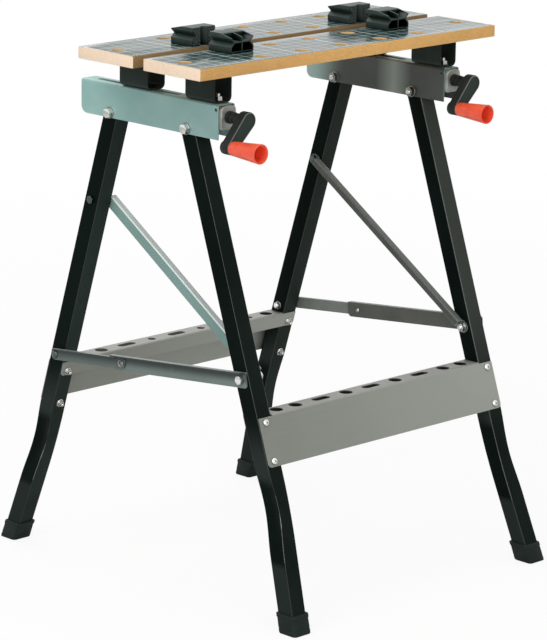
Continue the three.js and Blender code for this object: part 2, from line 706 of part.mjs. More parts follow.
add('front_plank', plank(frontPlankY), 'plank');
add('rear_plank', plank(rearPlankY), 'plank');
addPair('rail', rail(), 'rail');
addPair('front_bracket', jawBracket(frontPlankY), 'black');
addPair('rear_bracket', jawBracket(rearPlankY), 'black');
addPair('bearing_block', bearingBlock(), 'zinc');
addPair('screw', screw(), 'zinc');
addPair('screw_nut', screwNut(), 'zinc');
for (const [side, x] of [['right', legX], ['left', -legX]]) {
  add(`crank_${side}`, crank(x), 'plastic');
  add(`grip_${side}`, grip(x), 'red');
  add(`grip_pin_${side}`, gripPin(x), 'zinc');
  const spot = Math.sign(x) * 2 * dogHolePitch;
  add(`front_dog_${side}`, dog().translate([spot, frontPlankY + rowOffset, 0]), 'plastic');
  add(`rear_dog_${side}`, dog().rotate([0, 0, 180]).translate([spot, rearPlankY - rowOffset, 0]), 'plastic');
}
addPair('front_leg', leg(frontLeg, [pivotB, pivotD]), 'black');
addPair('rear_leg', leg(rearLeg, [pivotA, pivotC, pivotE]), 'black');
addPair('front_foot', foot(frontLeg), 'plastic');
addPair('rear_foot', foot(rearLeg), 'plastic');

const endHole = trayWidth / 2 - trayEndInset;
add('front_tray', tray(frontLeg, [['round', -endHole], ['round', -3 * trayPitch], ['slot', -2 * trayPitch],
  ['round', -trayPitch], ['slot', 0], ['round', trayPitch], ['slot', 2 * trayPitch], ['round', 3 * trayPitch],
  ['round', endHole]]), 'tray');
add('rear_tray', tray(rearLeg, [['round', -endHole], ['round', -3 * trayPitch], ['slot', -2 * trayPitch],
  ['small', -trayPitch], ['slot', 0], ['small', trayPitch], ['slot', 2 * trayPitch], ['small', 3 * trayPitch],
  ['round', endHole]]), 'tray');

addPair('brace', brace(), 'link');
addPair('brace_bolt', braceBolt(), 'zinc');
addPair('brace_nut', braceNut(), 'zinc');
addPair('long_link', longLinkBar(), 'link');
addPair('short_link', shortLinkBar(), 'link');
addPair('link_rivet', linkRivet(), 'zinc');
addPair('link_bolt', linkBolt(), 'zinc');
addPair('short_link_bolt', shortLinkBolt(), 'zinc');
addPair('short_link_rivet', shortLinkRivet(), 'zinc');
addPair('front_pivot_bolt', pivotBolt(pivotB), 'zinc');
addPair('rear_pivot_bolt', pivotBolt(pivotA), 'zinc');

export default bench;
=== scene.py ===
from math import acos, atan2, copysign, cos, dist, pi, radians, sin, tan

import bmesh
import bpy
from mathutils import Matrix, Vector

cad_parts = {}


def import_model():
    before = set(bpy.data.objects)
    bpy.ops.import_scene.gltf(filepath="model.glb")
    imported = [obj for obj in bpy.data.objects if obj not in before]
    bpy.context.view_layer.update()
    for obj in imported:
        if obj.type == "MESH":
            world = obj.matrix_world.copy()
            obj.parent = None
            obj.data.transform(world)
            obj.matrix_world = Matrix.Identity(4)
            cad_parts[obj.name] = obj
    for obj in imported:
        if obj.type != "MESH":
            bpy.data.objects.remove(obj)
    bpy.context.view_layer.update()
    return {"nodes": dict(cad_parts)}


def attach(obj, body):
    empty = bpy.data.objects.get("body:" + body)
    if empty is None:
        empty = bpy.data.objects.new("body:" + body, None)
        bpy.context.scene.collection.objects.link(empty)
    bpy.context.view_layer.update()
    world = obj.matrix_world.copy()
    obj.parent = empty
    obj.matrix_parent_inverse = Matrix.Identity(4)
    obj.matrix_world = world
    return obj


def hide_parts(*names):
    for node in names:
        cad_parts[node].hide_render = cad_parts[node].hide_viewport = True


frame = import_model()
nodes = frame["nodes"]

# Sizes in millimetres, as in the part's source
GAP = 0.3
LEG_X, LEG_HALF, LEG_WALL, LEG_CORNER = 231.4, 14.0, 1.6, 4.0
PIVOT_Z, FRONT_Y, REAR_Y, FOOT_Y = 688.0, -69.5, 91.8, 304.0
KICK, KICK_Z, KICK_BLEND, CRIMP_LONG, CRIMP_DEEP = 18.0, 165.0, 45.0, 130.0, 7.0
# Painted highlight on the outer edge of the crimp between these heights
GLINT_Z = (102.0, 162.0)  # where light catches the crimp's edge
TRAY_Z, TRAY_PANEL, TRAY_LIP, TRAY_HALF, TRAY_SHEET, TRAY_BEND = 296.0, 72.0, 24.0, 244.0, 1.2, 2.0
TRAY_PITCH, TRAY_END, TRAY_ROUND, TRAY_SMALL = 51.6, 193.0, 10.0, 6.5
PLANK_HALF, PLANK_WIDE, TOP_Z, PLANK_THICK, PLANK_EDGE = 302.5, 116.0, 790.0, 17.0, 0.8
HOLE_R, HOLE_PITCH, HOLE_ROW, END_HOLE = 10.0, 80.0, 32.5, 278.5
JAW_GAP_Y, PLANK_OFF, DOG_OFF, DOG_X = -29.0, 68.8, 17.0, 160.0
PLANK_Y = {"front": JAW_GAP_Y - PLANK_OFF, "rear": JAW_GAP_Y + PLANK_OFF}
DOG_FACE = {"front": JAW_GAP_Y - DOG_OFF, "rear": JAW_GAP_Y + DOG_OFF}
BRACKET_TOP, BRACKET_HIGH, BRACKET_SHEET = TOP_Z - PLANK_THICK - GAP, 41.4, 2.2
RAIL_OUT, LINK_SHEET, LONG_LINK = LEG_HALF + 0.4 + 1.6, 2.0, 251.0
BRACE_HALF, BRACE_DEEP, BRACE_INNER, BRACE_SHEET = 8.5, 12.0, 10.0, 1.7
SCREW_Z, SCREW_PITCH, ARM_LONG, ARM_TURN = 713.0, 4.0, 47.0, radians(43)
TIP = (-ARM_LONG * sin(ARM_TURN), -ARM_LONG * cos(ARM_TURN))
SIDES = {"right": 1, "left": -1}
TINY = 0.02  # keeps joined solids from sharing a plane


class Leg:
    """A leg's frame, as in the source: down along the leg, out away from the other leg."""

    def __init__(self, pivot_y, side):
        self.pivot_y, self.side = pivot_y, side
        self.lean = atan2(abs(side * FOOT_Y - pivot_y), PIVOT_Z)

    def at(self, down, out=0.0):
        return (self.pivot_y + self.side * (down * sin(self.lean) + out * cos(self.lean)),
                PIVOT_Z - down * cos(self.lean) + out * sin(self.lean))

    def axis_y(self, z):
        return self.pivot_y + self.side * (PIVOT_Z - z) * tan(self.lean)

    def down_to(self, z, out):
        return (PIVOT_Z - z + out * sin(self.lean)) / cos(self.lean)


LEGS = {"front": Leg(FRONT_Y, -1), "rear": Leg(REAR_Y, 1)}

# Pivots as (y, z): rail at the rear and front, brace on the rear leg, brace and link on the front leg,
# link on the rear leg
A, B = (REAR_Y, PIVOT_Z), (FRONT_Y, PIVOT_Z)
C, D, E = LEGS["rear"].at(140.6), LEGS["front"].at(362.0), LEGS["rear"].at(399.7)


# Materials

def scaled(colour, factor):
    return tuple(c * factor for c in colour)


class Nodes:
    """Short calls for the nodes of a shader tree."""

    def __init__(self, owner):
        owner.use_nodes = True
        self.tree = owner.node_tree

    def node(self, kind, props=None, **inputs):
        node = self.tree.nodes.new("ShaderNode" + kind)
        for key, value in (props or {}).items():
            setattr(node, key, value)
        for key, value in inputs.items():
            self.plug(value, node.inputs[key.replace("_", " ")])
        return node

    def plug(self, value, socket):
        if isinstance(value, bpy.types.NodeSocket):
            self.tree.links.new(value, socket)
        elif value is not None:
            socket.default_value = value

    def math(self, operation, a, b=None, c=None):
        node = self.node("Math", {"operation": operation})
        for i, value in enumerate((a, b, c)):
            self.plug(value, node.inputs[i])
        return node.outputs[0]

    def output(self, kind, factor, a, b):
        """Ends the tree in a mix of two shaders."""
        mix = self.node("MixShader")
        for i, value in enumerate((factor, a.outputs[0], b.outputs[0])):
            self.plug(value, mix.inputs[i])
        self.plug(mix.outputs[0], self.node(kind).inputs[0])


class Paint(Nodes):
    """A material under construction, with a principled shader."""

    def __init__(self, name, colour, rough, metal=0.0, specular=0.5):
        self.mat = bpy.data.materials.new(name)
        super().__init__(self.mat)
        self.shader = self.tree.nodes["Principled BSDF"]
        for socket, value in (("Base Color", (*colour, 1)), ("Roughness", rough), ("Metallic", metal),
                              ("Specular IOR Level", specular)):
            self.shader.inputs[socket].default_value = value
        self.coords = self.node("TexCoord")
        self.split = self.node("SeparateXYZ", Vector=self.coords.outputs["Object"])

    def mix(self, factor, a, b, share=None, blend="MIX"):
        """Colour that goes from a to b with the factor, or only for a share of the way."""
        node = self.node("Mix", {"data_type": "RGBA", "blend_type": blend})
        if share:
            factor = self.times(factor, share)
        for value, socket in ((factor, 0), (a, 6), (b, 7)):
            if isinstance(value, tuple) and len(value) == 3:
                value = (*value, 1)
            self.plug(value, node.inputs[socket])
        return node.outputs[2]

    def times(self, a, b):
        return self.math("MULTIPLY", a, b)

    def mm(self, axis):
        return self.times(self.split.outputs[axis], 1000.0)

    def normal(self, axis):
        return self.node("SeparateXYZ", Vector=self.coords.outputs["Normal"]).outputs[axis]

    def outward(self):
        """1 on faces that look away from the middle of the bench along X, -1 on those that look to it."""
        return self.times(self.normal(0), self.math("SIGN", self.split.outputs[0]))

    def open_air(self, distance):
        return self.node("AmbientOcclusion", {"samples": 8}, Distance=distance).outputs["AO"]

    def noise(self, scale, detail, stretch=(1, 1, 1), rough=0.55):
        mapped = self.node("Mapping", Vector=self.coords.outputs["Object"], Scale=stretch)
        return self.node("TexNoise", Vector=mapped.outputs[0], Scale=scale, Detail=detail,
                         Roughness=rough).outputs["Fac"]

    def ramp(self, factor, low, high):
        """0 at low, 1 at high and a smooth step between them; low may be the larger value."""
        return self.node("MapRange", {"interpolation_type": "SMOOTHSTEP"}, Value=factor,
                         From_Min=low, From_Max=high).outputs[0]

    def lines(self, value, period, width):
        """1 on lines of that width every period, all in millimetres."""
        return self.math("LESS_THAN", self.math("PINGPONG", value, period / 2), width / 2)

    def apart(self, a, b):
        return self.math("ABSOLUTE", self.math("SUBTRACT", a, b))

    def done(self, tone, rough, bump):
        """Plugs in colour, roughness as (factor, low, high) and bump as (height, distance, strength)."""
        factor, low, high = rough
        height, distance, strength = bump
        level = self.node("MapRange", Value=factor, To_Min=low, To_Max=high)
        relief = self.node("Bump", Height=height, Strength=strength, Distance=distance)
        for value, socket in ((tone, "Base Color"), (level.outputs[0], "Roughness"), (relief.outputs[0], "Normal")):
            self.plug(value, self.shader.inputs[socket])
        return self.mat


def board_print():
    """Glossy teal laminate printed with a pale squared grid and ruler marks along the long edges."""
    square, line, half_grid, ruler = 20.0, 1.3, 47.0, 52.2
    p = Paint("plank_print", (0.04, 0.09, 0.095), 0.14, specular=0.31)
    x, y = p.mm(0), p.mm(1)
    from_gap = p.apart(y, JAW_GAP_Y)
    away = p.apart(from_gap, PLANK_OFF)
    inside = p.math("LESS_THAN", away, half_grid)
    grid = p.times(p.math("MAXIMUM", p.lines(x, square, line), p.lines(away, square, line)), inside)
    bold = p.times(p.lines(x, 5 * square, 1.9), inside)
    border = p.math("COMPARE", away, half_grid + 0.5, 0.7)
    ticks = p.times(p.lines(x, square / 4, 2.3), p.math("COMPARE", away, ruler, 1.5))
    marks = p.math("MAXIMUM", p.math("MAXIMUM", ticks, bold), border)
    cell = p.node("TexWhiteNoise", {"noise_dimensions": "2D"})
    spot = p.node("CombineXYZ", X=p.math("FLOOR", p.math("DIVIDE", x, square)),
                  Y=p.math("FLOOR", p.math("DIVIDE", y, square)))
    p.plug(spot.outputs[0], cell.inputs["Vector"])
    tone = p.mix(cell.outputs["Value"], (0.014, 0.057, 0.063), (0.042, 0.082, 0.082), 0.6)
    cloud = p.mix(p.ramp(p.noise(22, 4), 0.3, 0.75), tone, (0.062, 0.093, 0.09), 0.4)
    printed = p.mix(grid, cloud, (0.48, 0.515, 0.445))
    printed = p.mix(marks, printed, (0.78, 0.8, 0.74), 0.9)
    wear = p.ramp(p.noise(150, 5, (0.25, 1, 1)), 0.64, 0.74)
    tone = p.mix(wear, printed, (0.3, 0.33, 0.32), 0.25)
    return p.done(tone, (p.noise(60, 3), 0.12, 0.21), (p.noise(90, 2), 0.00002, 0.1))


def board(name, light, dark, deep=None, left=1.0):
    """Pressed fibre board: fine speckle in thin flat flakes, with darker fibres here and there.

    Deep is the tone of painted shade at the bottom of a hole, and left dims the end of the board towards -X as painted
    shade.
    """
    p = Paint(name, light, 0.62, specular=0.3)
    flake = p.noise(420, 6, (0.45, 0.45, 2.2), 0.7)
    tone = p.mix(p.ramp(flake, 0.34, 0.7), dark, light)
    warm = tuple(c * f for c, f in zip(light, (1.02, 0.93, 0.85)))
    tone = p.mix(p.ramp(p.noise(26, 3), 0.35, 0.7), tone, warm, 0.5)
    speck = p.ramp(p.noise(1500, 2, (0.5, 0.5, 1.5)), 0.68, 0.74)
    # Painted shade: the wall of a hole darkens towards its bottom
    if deep:
        tone = p.mix(p.ramp(p.mm(2), TOP_Z - 14.0, TOP_Z - 1.0), deep, tone)
    # Painted shade: the board darkens towards its end at -X
    if left < 1.0:
        fall = p.mix(p.ramp(p.mm(0), -250.0, 60.0), (left, left, left), (1.0, 1.0, 1.0))
        tone = p.mix(1.0, tone, fall, blend="MULTIPLY")
    tone = p.mix(speck, tone, scaled(dark, 0.45), 0.4)
    return p.done(tone, (flake, 0.5, 0.75), (flake, 0.00012, 0.5))


def black_paint(name, colour, rough, specular, light_and_shade_bands=(), across=None):
    """Glossy black powder coat with a faint green cast, light orange peel and dusty patches.

    Each band is a tone of painted light and shade that comes in and goes out over two pairs of heights. With across,
    it grows along X as painted light.
    """
    p = Paint(name, colour, rough, specular=specular)
    cloud = p.noise(9, 4)
    dust = p.ramp(p.noise(240, 6), 0.63, 0.76)
    tone = p.mix(p.ramp(cloud, 0.3, 0.75), colour, scaled(colour, 1.6))
    # Painted light and shade: bands of tone over height, growing along X where across is given
    for band, start, full, last, end in light_and_shade_bands:
        share = p.times(p.ramp(p.mm(2), start, full), p.ramp(p.mm(2), end, last))
        if across:
            share = p.times(share, p.ramp(p.mm(0), *across))
        tone = p.mix(share, tone, band)
    tone = p.mix(dust, tone, (0.05, 0.056, 0.053), 0.2)
    return p.done(tone, (cloud, rough - 0.07, rough + 0.1), (p.noise(700, 2), 0.00006, 0.35))


def frame_paint():
    """Satin silver-green paint outside, painted lighter towards the rear; the faces towards the middle of the bench
    are painted dark grey as shade, with a painted reflection band across the rail and painted light teal towards the
    rear end.
    """
    p = Paint("frame_paint", (0.24, 0.37, 0.345), 0.42, 0.25)
    sheen_y, sheen_half, rail_low = -32.0, 36.0, 670.0
    # Painted shade: faces towards the middle of the bench take the dark grey inner tone
    inward_shade = p.ramp(p.outward(), -0.15, -0.6)
    cloud = p.noise(7, 3, (1, 1, 1.5))
    outer = p.mix(p.ramp(cloud, 0.3, 0.72), (0.2, 0.345, 0.32), (0.29, 0.42, 0.395))
    # Painted light: the outside grows lighter towards the rear
    fall = p.mix(p.ramp(p.mm(1), 10.0, 150.0), (0.86, 0.89, 0.91), (1.27, 1.27, 1.28))
    outer = p.mix(1.0, outer, fall, blend="MULTIPLY")
    # Painted reflection: a light band across the inner faces near the middle of the rail
    off = p.apart(p.mm(1), sheen_y)
    sheen = p.math("MAXIMUM", p.math("SUBTRACT", 1.0, p.math("DIVIDE", off, sheen_half)), 0.0)
    sheen = p.times(sheen, p.math("GREATER_THAN", p.mm(2), rail_low))
    inner = p.mix(p.ramp(cloud, 0.25, 0.75), (0.043, 0.05, 0.046), (0.069, 0.077, 0.07))
    inner = p.mix(sheen, inner, (0.24, 0.29, 0.26), 0.8)
    # Painted reflection: the inner faces turn light teal towards the rear end
    inner = p.mix(p.ramp(p.mm(1), 70.0, 152.0), inner, (0.34, 0.48, 0.445), 0.85)
    tone = p.mix(inward_shade, outer, inner)
    scuff = p.ramp(p.noise(120, 6, (1, 0.2, 1)), 0.66, 0.74)
    tone = p.mix(scuff, tone, (0.36, 0.42, 0.4), 0.18)
    return p.done(tone, (cloud, 0.33, 0.48), (p.noise(600, 2), 0.00004, 0.3))


def link_paint(name, outer, top, inner, bend=None, shade=None):
    """Satin paint of a bar: one tone outside, a lighter painted light on top that darkens towards +X, a grey painted
    shade towards the middle.

    The bend can have a painted highlight line, and the outside can fall off to a painted shadow below the links' upper
    flange.
    """
    p = Paint(name, outer, 0.4, specular=0.3)
    outward, up = p.outward(), p.normal(2)
    cloud = p.ramp(p.noise(11, 3), 0.3, 0.7)
    outside = p.mix(cloud, outer, scaled(outer, 1.2))
    # Painted shadow: the outside darkens below the upper flange
    if shade:
        fall = (D[1] - E[1]) / (E[0] - D[0])
        line = p.math("MULTIPLY_ADD", p.math("SUBTRACT", p.mm(1), D[0]), fall, p.math("SUBTRACT", p.mm(2), D[1]))
        outside = p.mix(p.ramp(line, -7.5, 5.5), outside, shade)
    inside = p.mix(cloud, inner, scaled(inner, 1.3))
    # Painted shade: faces towards the middle of the bench take the grey inner tone
    tone = p.mix(p.ramp(outward, -0.15, -0.6), outside, inside)
    # Painted light: upward faces take the lighter top tone, darker towards +X
    tone = p.mix(p.ramp(up, 0.2, 0.6), tone, p.mix(p.ramp(p.mm(0), -100.0, 100.0), *top))
    # Painted highlight: a bright line along the bend
    if bend:
        bend_highlight = p.ramp(p.times(outward, up), 0.2, 0.38)
        tone = p.mix(bend_highlight, tone, bend, 0.8)
    streak = p.ramp(p.noise(300, 5, (1, 0.1, 0.1)), 0.6, 0.75)
    tone = p.mix(streak, tone, (0.36, 0.4, 0.38), 0.04)
    return p.done(tone, (p.noise(11, 3), 0.3, 0.46), (p.noise(500, 2), 0.00004, 0.3))


def tray_paint():
    """Warm grey satin paint with a faint roll grain along the tray; painted light makes it lighter towards +X and on
    upward faces, and painted shade darkens its hollows.
    """
    p = Paint("tray_paint", (0.24, 0.24, 0.21), 0.42, 0.2)
    grain = p.noise(260, 4, (0.06, 1, 1))
    cloud = p.noise(4.5, 3)
    # Painted light: the tray grows lighter from -X to +X
    along = p.ramp(p.mm(0), -240.0, 240.0)
    tone = p.mix(along, (0.2, 0.212, 0.183), (0.308, 0.324, 0.29))
    tone = p.mix(p.ramp(cloud, 0.3, 0.7), tone, (0.257, 0.272, 0.241), 0.4)
    # Painted light: upward faces such as the shelf are lighter
    tone = p.mix(p.ramp(p.normal(2), 0.4, 0.8), tone, (0.31, 0.316, 0.294))
    # Painted shade: hollows such as the inside of the panel darken by ambient occlusion
    tone = p.mix(p.ramp(p.open_air(0.05), 0.3, 0.9), (0.03, 0.031, 0.027), tone)
    tone = p.mix(p.ramp(grain, 0.45, 0.7), tone, (0.36, 0.365, 0.335), 0.06)
    return p.done(tone, (grain, 0.36, 0.5), (grain, 0.00004, 0.1))


def zinc(name="zinc", colour=(0.9, 0.9, 0.87), rough=0.17):
    """Bright zinc plate: slightly mottled, with painted shade underneath and in the corners, and fine turning marks.
    """
    p = Paint(name, colour, rough, 1.0)
    tone = p.mix(p.ramp(p.noise(180, 4), 0.3, 0.7), scaled(colour, 0.78), colour)
    # Painted shade: faces turned downwards are darker
    tone = p.mix(p.ramp(p.normal(2), -0.8, 0.1), scaled(colour, 0.16), tone)
    # Painted shade: corners darken by ambient occlusion
    tone = p.mix(p.ramp(p.open_air(0.005), 0.3, 0.8), scaled(colour, 0.1), tone)
    return p.done(tone, (p.noise(700, 3), rough - 0.08, rough + 0.14), (p.noise(1800, 2), 0.00003, 0.4))


def cast():
    """Light grey die casting with a fine sandy skin."""
    p = Paint("cast_block", (0.3, 0.3, 0.26), 0.5, 0.55)
    grain = p.noise(900, 4)
    tone = p.mix(p.ramp(p.noise(60, 4), 0.3, 0.7), (0.22, 0.225, 0.195), (0.42, 0.42, 0.385))
    return p.done(tone, (grain, 0.4, 0.6), (grain, 0.00012, 0.5))


def moulded(name, colour, rough, grain=1100, depth=0.0001, stipple=0.0, specular=0.4, crevice_shade=0.0):
    """Moulded plastic: eroded mould texture, a coarser stipple where one is asked for, and painted shade in tight
    hollows where asked for.
    """
    p = Paint(name, colour, rough, specular=specular)
    height = fine = p.noise(grain, 4)
    tone = p.mix(p.ramp(p.noise(30, 3), 0.3, 0.7), scaled(colour, 0.8), scaled(colour, 1.25))
    if stipple:
        cells = p.node("TexVoronoi", Vector=p.coords.outputs["Object"], Scale=stipple).outputs["Distance"]
        height = p.math("ADD", fine, p.times(cells, 1.6))
        tone = p.mix(p.ramp(cells, 0.2, 0.6), tone, scaled(colour, 2.6))
    # Painted shade: tight hollows darken by ambient occlusion
    if crevice_shade:
        clear = p.ramp(p.open_air(crevice_shade), 0.35, 0.85)
        tone = p.mix(clear, scaled(colour, 0.1), tone)
        p.plug(p.times(clear, specular), p.shader.inputs["Specular IOR Level"])
    return p.done(tone, (fine, rough - 0.08, rough + 0.1), (height, depth, 0.6))


def knurled():
    """Plastic of the jaw faces: painted shade between the diamonds and a pale painted highlight on their points."""
    p = Paint("knurl_plastic", (0.03, 0.038, 0.035), 0.36, specular=0.5)
    rise = p.math("SUBTRACT", DOG_OFF, p.apart(p.mm(1), JAW_GAP_Y))
    # Painted highlight on the points, painted shade in the valleys between them
    tip_highlight = p.math("ADD", p.ramp(rise, 0.5, 1.5), p.times(p.noise(500, 3), 0.1))
    p.plug(p.times(p.ramp(rise, 0.2, 1.3), 0.5), p.shader.inputs["Specular IOR Level"])
    tone = p.mix(tip_highlight, (0.002, 0.004, 0.0033), (0.24, 0.29, 0.27))
    return p.done(tone, (p.noise(900, 3), 0.3, 0.44), (p.noise(1100, 3), 0.00006, 0.4))


def red_plastic(name, light, dark, specular):
    """Bright red-orange moulding that lets a little light through."""
    p = Paint(name, light, 0.38, specular=specular)
    for key, value in (("Weight", 0.4), ("Radius", (1.0, 0.16, 0.08)), ("Scale", 0.006)):
        p.shader.inputs["Subsurface " + key].default_value = value
    tone = p.mix(p.ramp(p.noise(70, 3), 0.3, 0.7), dark, light)
    return p.done(tone, (p.noise(800, 3), 0.3, 0.46), (p.noise(1200, 2), 0.00004, 0.3))


PRINT = board_print()
# Board edges, with painted shade towards -X
EDGE = board("board_edge", (0.78, 0.47, 0.17), (0.63, 0.345, 0.105), left=0.77)
# Painted shade: a darker tone for the board edges that face the jaw gap
GAP_EDGE_SHADE = board("board_gap_edge_painted_shade", (0.27, 0.17, 0.07), (0.21, 0.125, 0.047))
# The ends take a paler tone: cut board, made paler still as painted light falling from the side
END = board("board_end", (0.81, 0.68, 0.54), (0.71, 0.54, 0.395))
# Hole walls, with painted shade towards the bottom of each hole
HOLE = board("board_hole", (0.66, 0.47, 0.24), (0.5, 0.33, 0.14), deep=(0.16, 0.1, 0.045))
# Painted light and shade on the legs: the sides take a dark shaded tone with lighter painted bands low down and just
# above the crimp; the front and back faces take a lighter lit tone, lighter on the rear legs and higher up towards +X
LEG_SIDE_SHADED = black_paint("leg_side_painted_shade", (0.0022, 0.0048, 0.004), 0.3, 0.02,
                       [((0.016, 0.0225, 0.0195), -20, 0, 88, 99), ((0.021, 0.0275, 0.0245), 196, 216, 226, 300)])
LEG_FACE_LIT = {row: black_paint(f"{row}_leg_face_painted_light", tone, 0.3, 0.02, [(upper, 180, 420, 800, 900)], (-200, 200))
            for row, tone, upper in (("front", (0.006, 0.0098, 0.0082), (0.045, 0.0525, 0.0465)),
                                     ("rear", (0.0145, 0.0215, 0.0185), (0.022, 0.0285, 0.025)))}
# Painted highlight on the legs' rounded corners, dimmed low down and around the crimp on the front legs
CORNER_HIGHLIGHT = {"front": black_paint("front_corner_painted_highlight", (0.05, 0.058, 0.054), 0.2, 0.4,
                               [((0.012, 0.017, 0.015), -20, 0, 90, 102), ((0.02, 0.026, 0.023), 165, 175, 215, 240)]),
          "rear": black_paint("rear_corner_painted_highlight", (0.018, 0.023, 0.021), 0.2, 0.3)}
# Painted highlight along the outer edge of the crimp
GLINT = black_paint("crimp_edge_painted_highlight", (0.15, 0.16, 0.145), 0.2, 0.4)
BRACKET = black_paint("bracket_paint", (0.012, 0.018, 0.0155), 0.36, 0.08)
FRAME = frame_paint()
# Painted light and shade of the links and braces: lit tops, a shadow under the links' flange, grey inner faces and a
# highlight along the brace's bend
LINK_LIT_TOP, LINK_FLANGE_SHADOW = ((0.24, 0.28, 0.265), (0.2, 0.21, 0.195)), (0.03, 0.042, 0.038)
LINK = link_paint("link_paint", (0.12, 0.155, 0.142), LINK_LIT_TOP, (0.072, 0.076, 0.067), shade=LINK_FLANGE_SHADOW)
SHORT_LINK = link_paint("short_link_paint", (0.08, 0.102, 0.092), LINK_LIT_TOP, (0.148, 0.164, 0.153),
                        shade=LINK_FLANGE_SHADOW)
BRACE = link_paint("brace_paint", (0.165, 0.262, 0.245), ((0.455, 0.525, 0.52), (0.135, 0.15, 0.14)),
                   (0.055, 0.06, 0.054), bend=(0.75, 0.82, 0.8))
TRAY = tray_paint()
ZINC = zinc()
STEEL = zinc("screw_steel", (0.5, 0.5, 0.48), 0.32)
WASHER = zinc("washer_zinc", (0.36, 0.37, 0.355), 0.3)
# Painted shade: a darker copy of the zinc for the nuts on the inner side, also used on the link eyelet
NUT_SHADED = zinc("nut_zinc_painted_shade", (0.3, 0.31, 0.295), 0.18)
# Painted shade: a darker copy of the zinc for the brace and link-end fasteners and the block rivets
SHADED_ZINC = zinc("shaded_zinc", (0.12, 0.15, 0.145), 0.24)
CAST = cast()
# Dog plastic, with painted shade in its pockets and grooves
DOG = moulded("dog_plastic", (0.015, 0.0295, 0.0248), 0.4, 900, 0.00012, specular=0.42, crevice_shade=0.022)
CRANK = moulded("crank_plastic", (0.009, 0.013, 0.0115), 0.42, specular=0.2)
STIPPLE = moulded("crank_stipple", (0.0085, 0.014, 0.0115), 0.5, 900, 0.0003, 900, 0.22)
# Painted highlight on the rounded edge of the crank's rim
RIM_HIGHLIGHT = moulded("crank_rim_painted_highlight", (0.12, 0.14, 0.13), 0.45)
FOOT = moulded("foot_plastic", (0.0095, 0.0165, 0.0138), 0.55, 700, 0.00018, specular=0.13)
RED = red_plastic("grip_red", (0.84, 0.115, 0.05), (0.74, 0.075, 0.033), 0.4)
# Painted light: the inside of the grip takes a brighter red, on top of the real subsurface glow
RED_INSIDE_LIT = red_plastic("grip_inside_painted_light", (1.0, 0.13, 0.055), (0.96, 0.1, 0.045), 0.25)
KNURL = knurled()
# Painted shade: near black for recesses and hollows
RECESS_SHADE = moulded("recess_painted_shade", (0.004, 0.005, 0.005), 0.7)


# Mesh building, in millimetres

def circle(n):
    return [(cos(2 * pi * i / n), sin(2 * pi * i / n)) for i in range(n)]


def quarter(n, last):
    """Cosines and sines of the steps 1 to last, of n to a quarter turn."""
    return [(cos(pi / 2 * k / n), sin(pi / 2 * k / n)) for k in range(1, last + 1)]


def frame_on(axis):
    """The axis as a unit vector, and two more square to it."""
    axis = Vector(axis).normalized()
    u = axis.orthogonal().normalized()
    return axis, u, axis.cross(u)


class Shape:
    """Collects points and faces; each face keeps the number of its material."""

    def __init__(self):
        self.points, self.faces, self.kinds = [], [], []

    def add(self, points, faces, kind=0):
        base = len(self.points)
        self.points += [Vector(p) for p in points]
        self.faces += [[base + i for i in f] for f in faces]
        self.kinds += [kind] * len(faces)
        return self

    def rings(self, rings, kind=0, caps=(True, True), kinds=None):
        """Skin over rings with the same number of points; kinds names a material for each band."""
        n = len(rings[0])
        for k, (a, b) in enumerate(zip(rings, rings[1:])):
            band = [[i, (i + 1) % n, n + (i + 1) % n, n + i] for i in range(n)]
            self.add(list(a) + list(b), band, kinds[k] if kinds else kind)
        for end, ring in ((caps[0], rings[0]), (caps[1], rings[-1])):
            if end is not False:
                self.add(ring, [list(range(n))], kind if end is True else end)
        return self

    def lathe(self, profile, origin, axis, n, kind=0, caps=(True, True)):
        """Revolves (radius, height) pairs about an axis through origin."""
        origin, (axis, u, w) = Vector(origin), frame_on(axis)
        turn = circle(n)
        return self.rings([[origin + axis * h + (u * c + w * s) * r for c, s in turn] for r, h in profile],
                          kind, caps)

    def hexagon(self, across, height, origin, axis, bore, kind=0):
        """Hexagon head or nut whose upper corners are turned off; a bore of 0 leaves it solid."""
        origin, (axis, u, w) = Vector(origin), frame_on(axis)
        n, flat, bevel = 36, across / 2, 0.58
        corners = [flat / cos((2 * pi * i / n) % (pi / 3) - pi / 6) for i in range(n)]

        def ring(rise, radius=None, cut=0.0):
            return [origin + axis * (rise - cut * max(0.0, corner - flat * 0.97))
                    + (u * c + w * s) * (min(radius, corner) if radius else corner)
                    for corner, (c, s) in zip(corners, circle(n))]

        rings = [ring(0.0), ring(height, cut=bevel), ring(height, flat * 0.95)]
        if bore:
            rings += [ring(height, bore + 0.5), ring(height - 0.6, bore)]
        return self.rings(rings, kind)

    def plate(self, outline, place, depth, kind=0):
        """Flat plate: outline points go through place(a, b, height)."""
        return self.rings([[place(a, b, h) for a, b in outline] for h in depth], kind)

    def mesh(self, name, materials, sharp=32.0):
        mesh = bpy.data.meshes.new(name)
        mesh.from_pydata([p / 1000 for p in self.points], [], self.faces)
        for material in materials:
            mesh.materials.append(material)
        mesh.polygons.foreach_set("material_index", self.kinds)
        work = bmesh.new()
        work.from_mesh(mesh)
        bmesh.ops.remove_doubles(work, verts=work.verts, dist=2e-6)
        bmesh.ops.recalc_face_normals(work, faces=work.faces)
        work.to_mesh(mesh)
        work.free()
        smooth(mesh, sharp)
        return mesh


def add_object(name, data):
    obj = bpy.data.objects.new(name, data)
    bpy.context.scene.collection.objects.link(obj)
    return obj


def smooth(mesh, sharp):
    mesh.polygons.foreach_set("use_smooth", [True] * len(mesh.polygons))
    mesh.set_sharp_from_angle(angle=radians(sharp))


def piece(name, shape, body, materials, stands_for, sharp=32.0):
    """Adds a shape or mesh that rides on a body and stands for the named CAD nodes."""
    mesh = shape.mesh(name, materials, sharp) if isinstance(shape, Shape) else shape
    obj = add_object(name, mesh)
    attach(obj, body)
    if stands_for:
        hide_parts(*stands_for)
    return obj


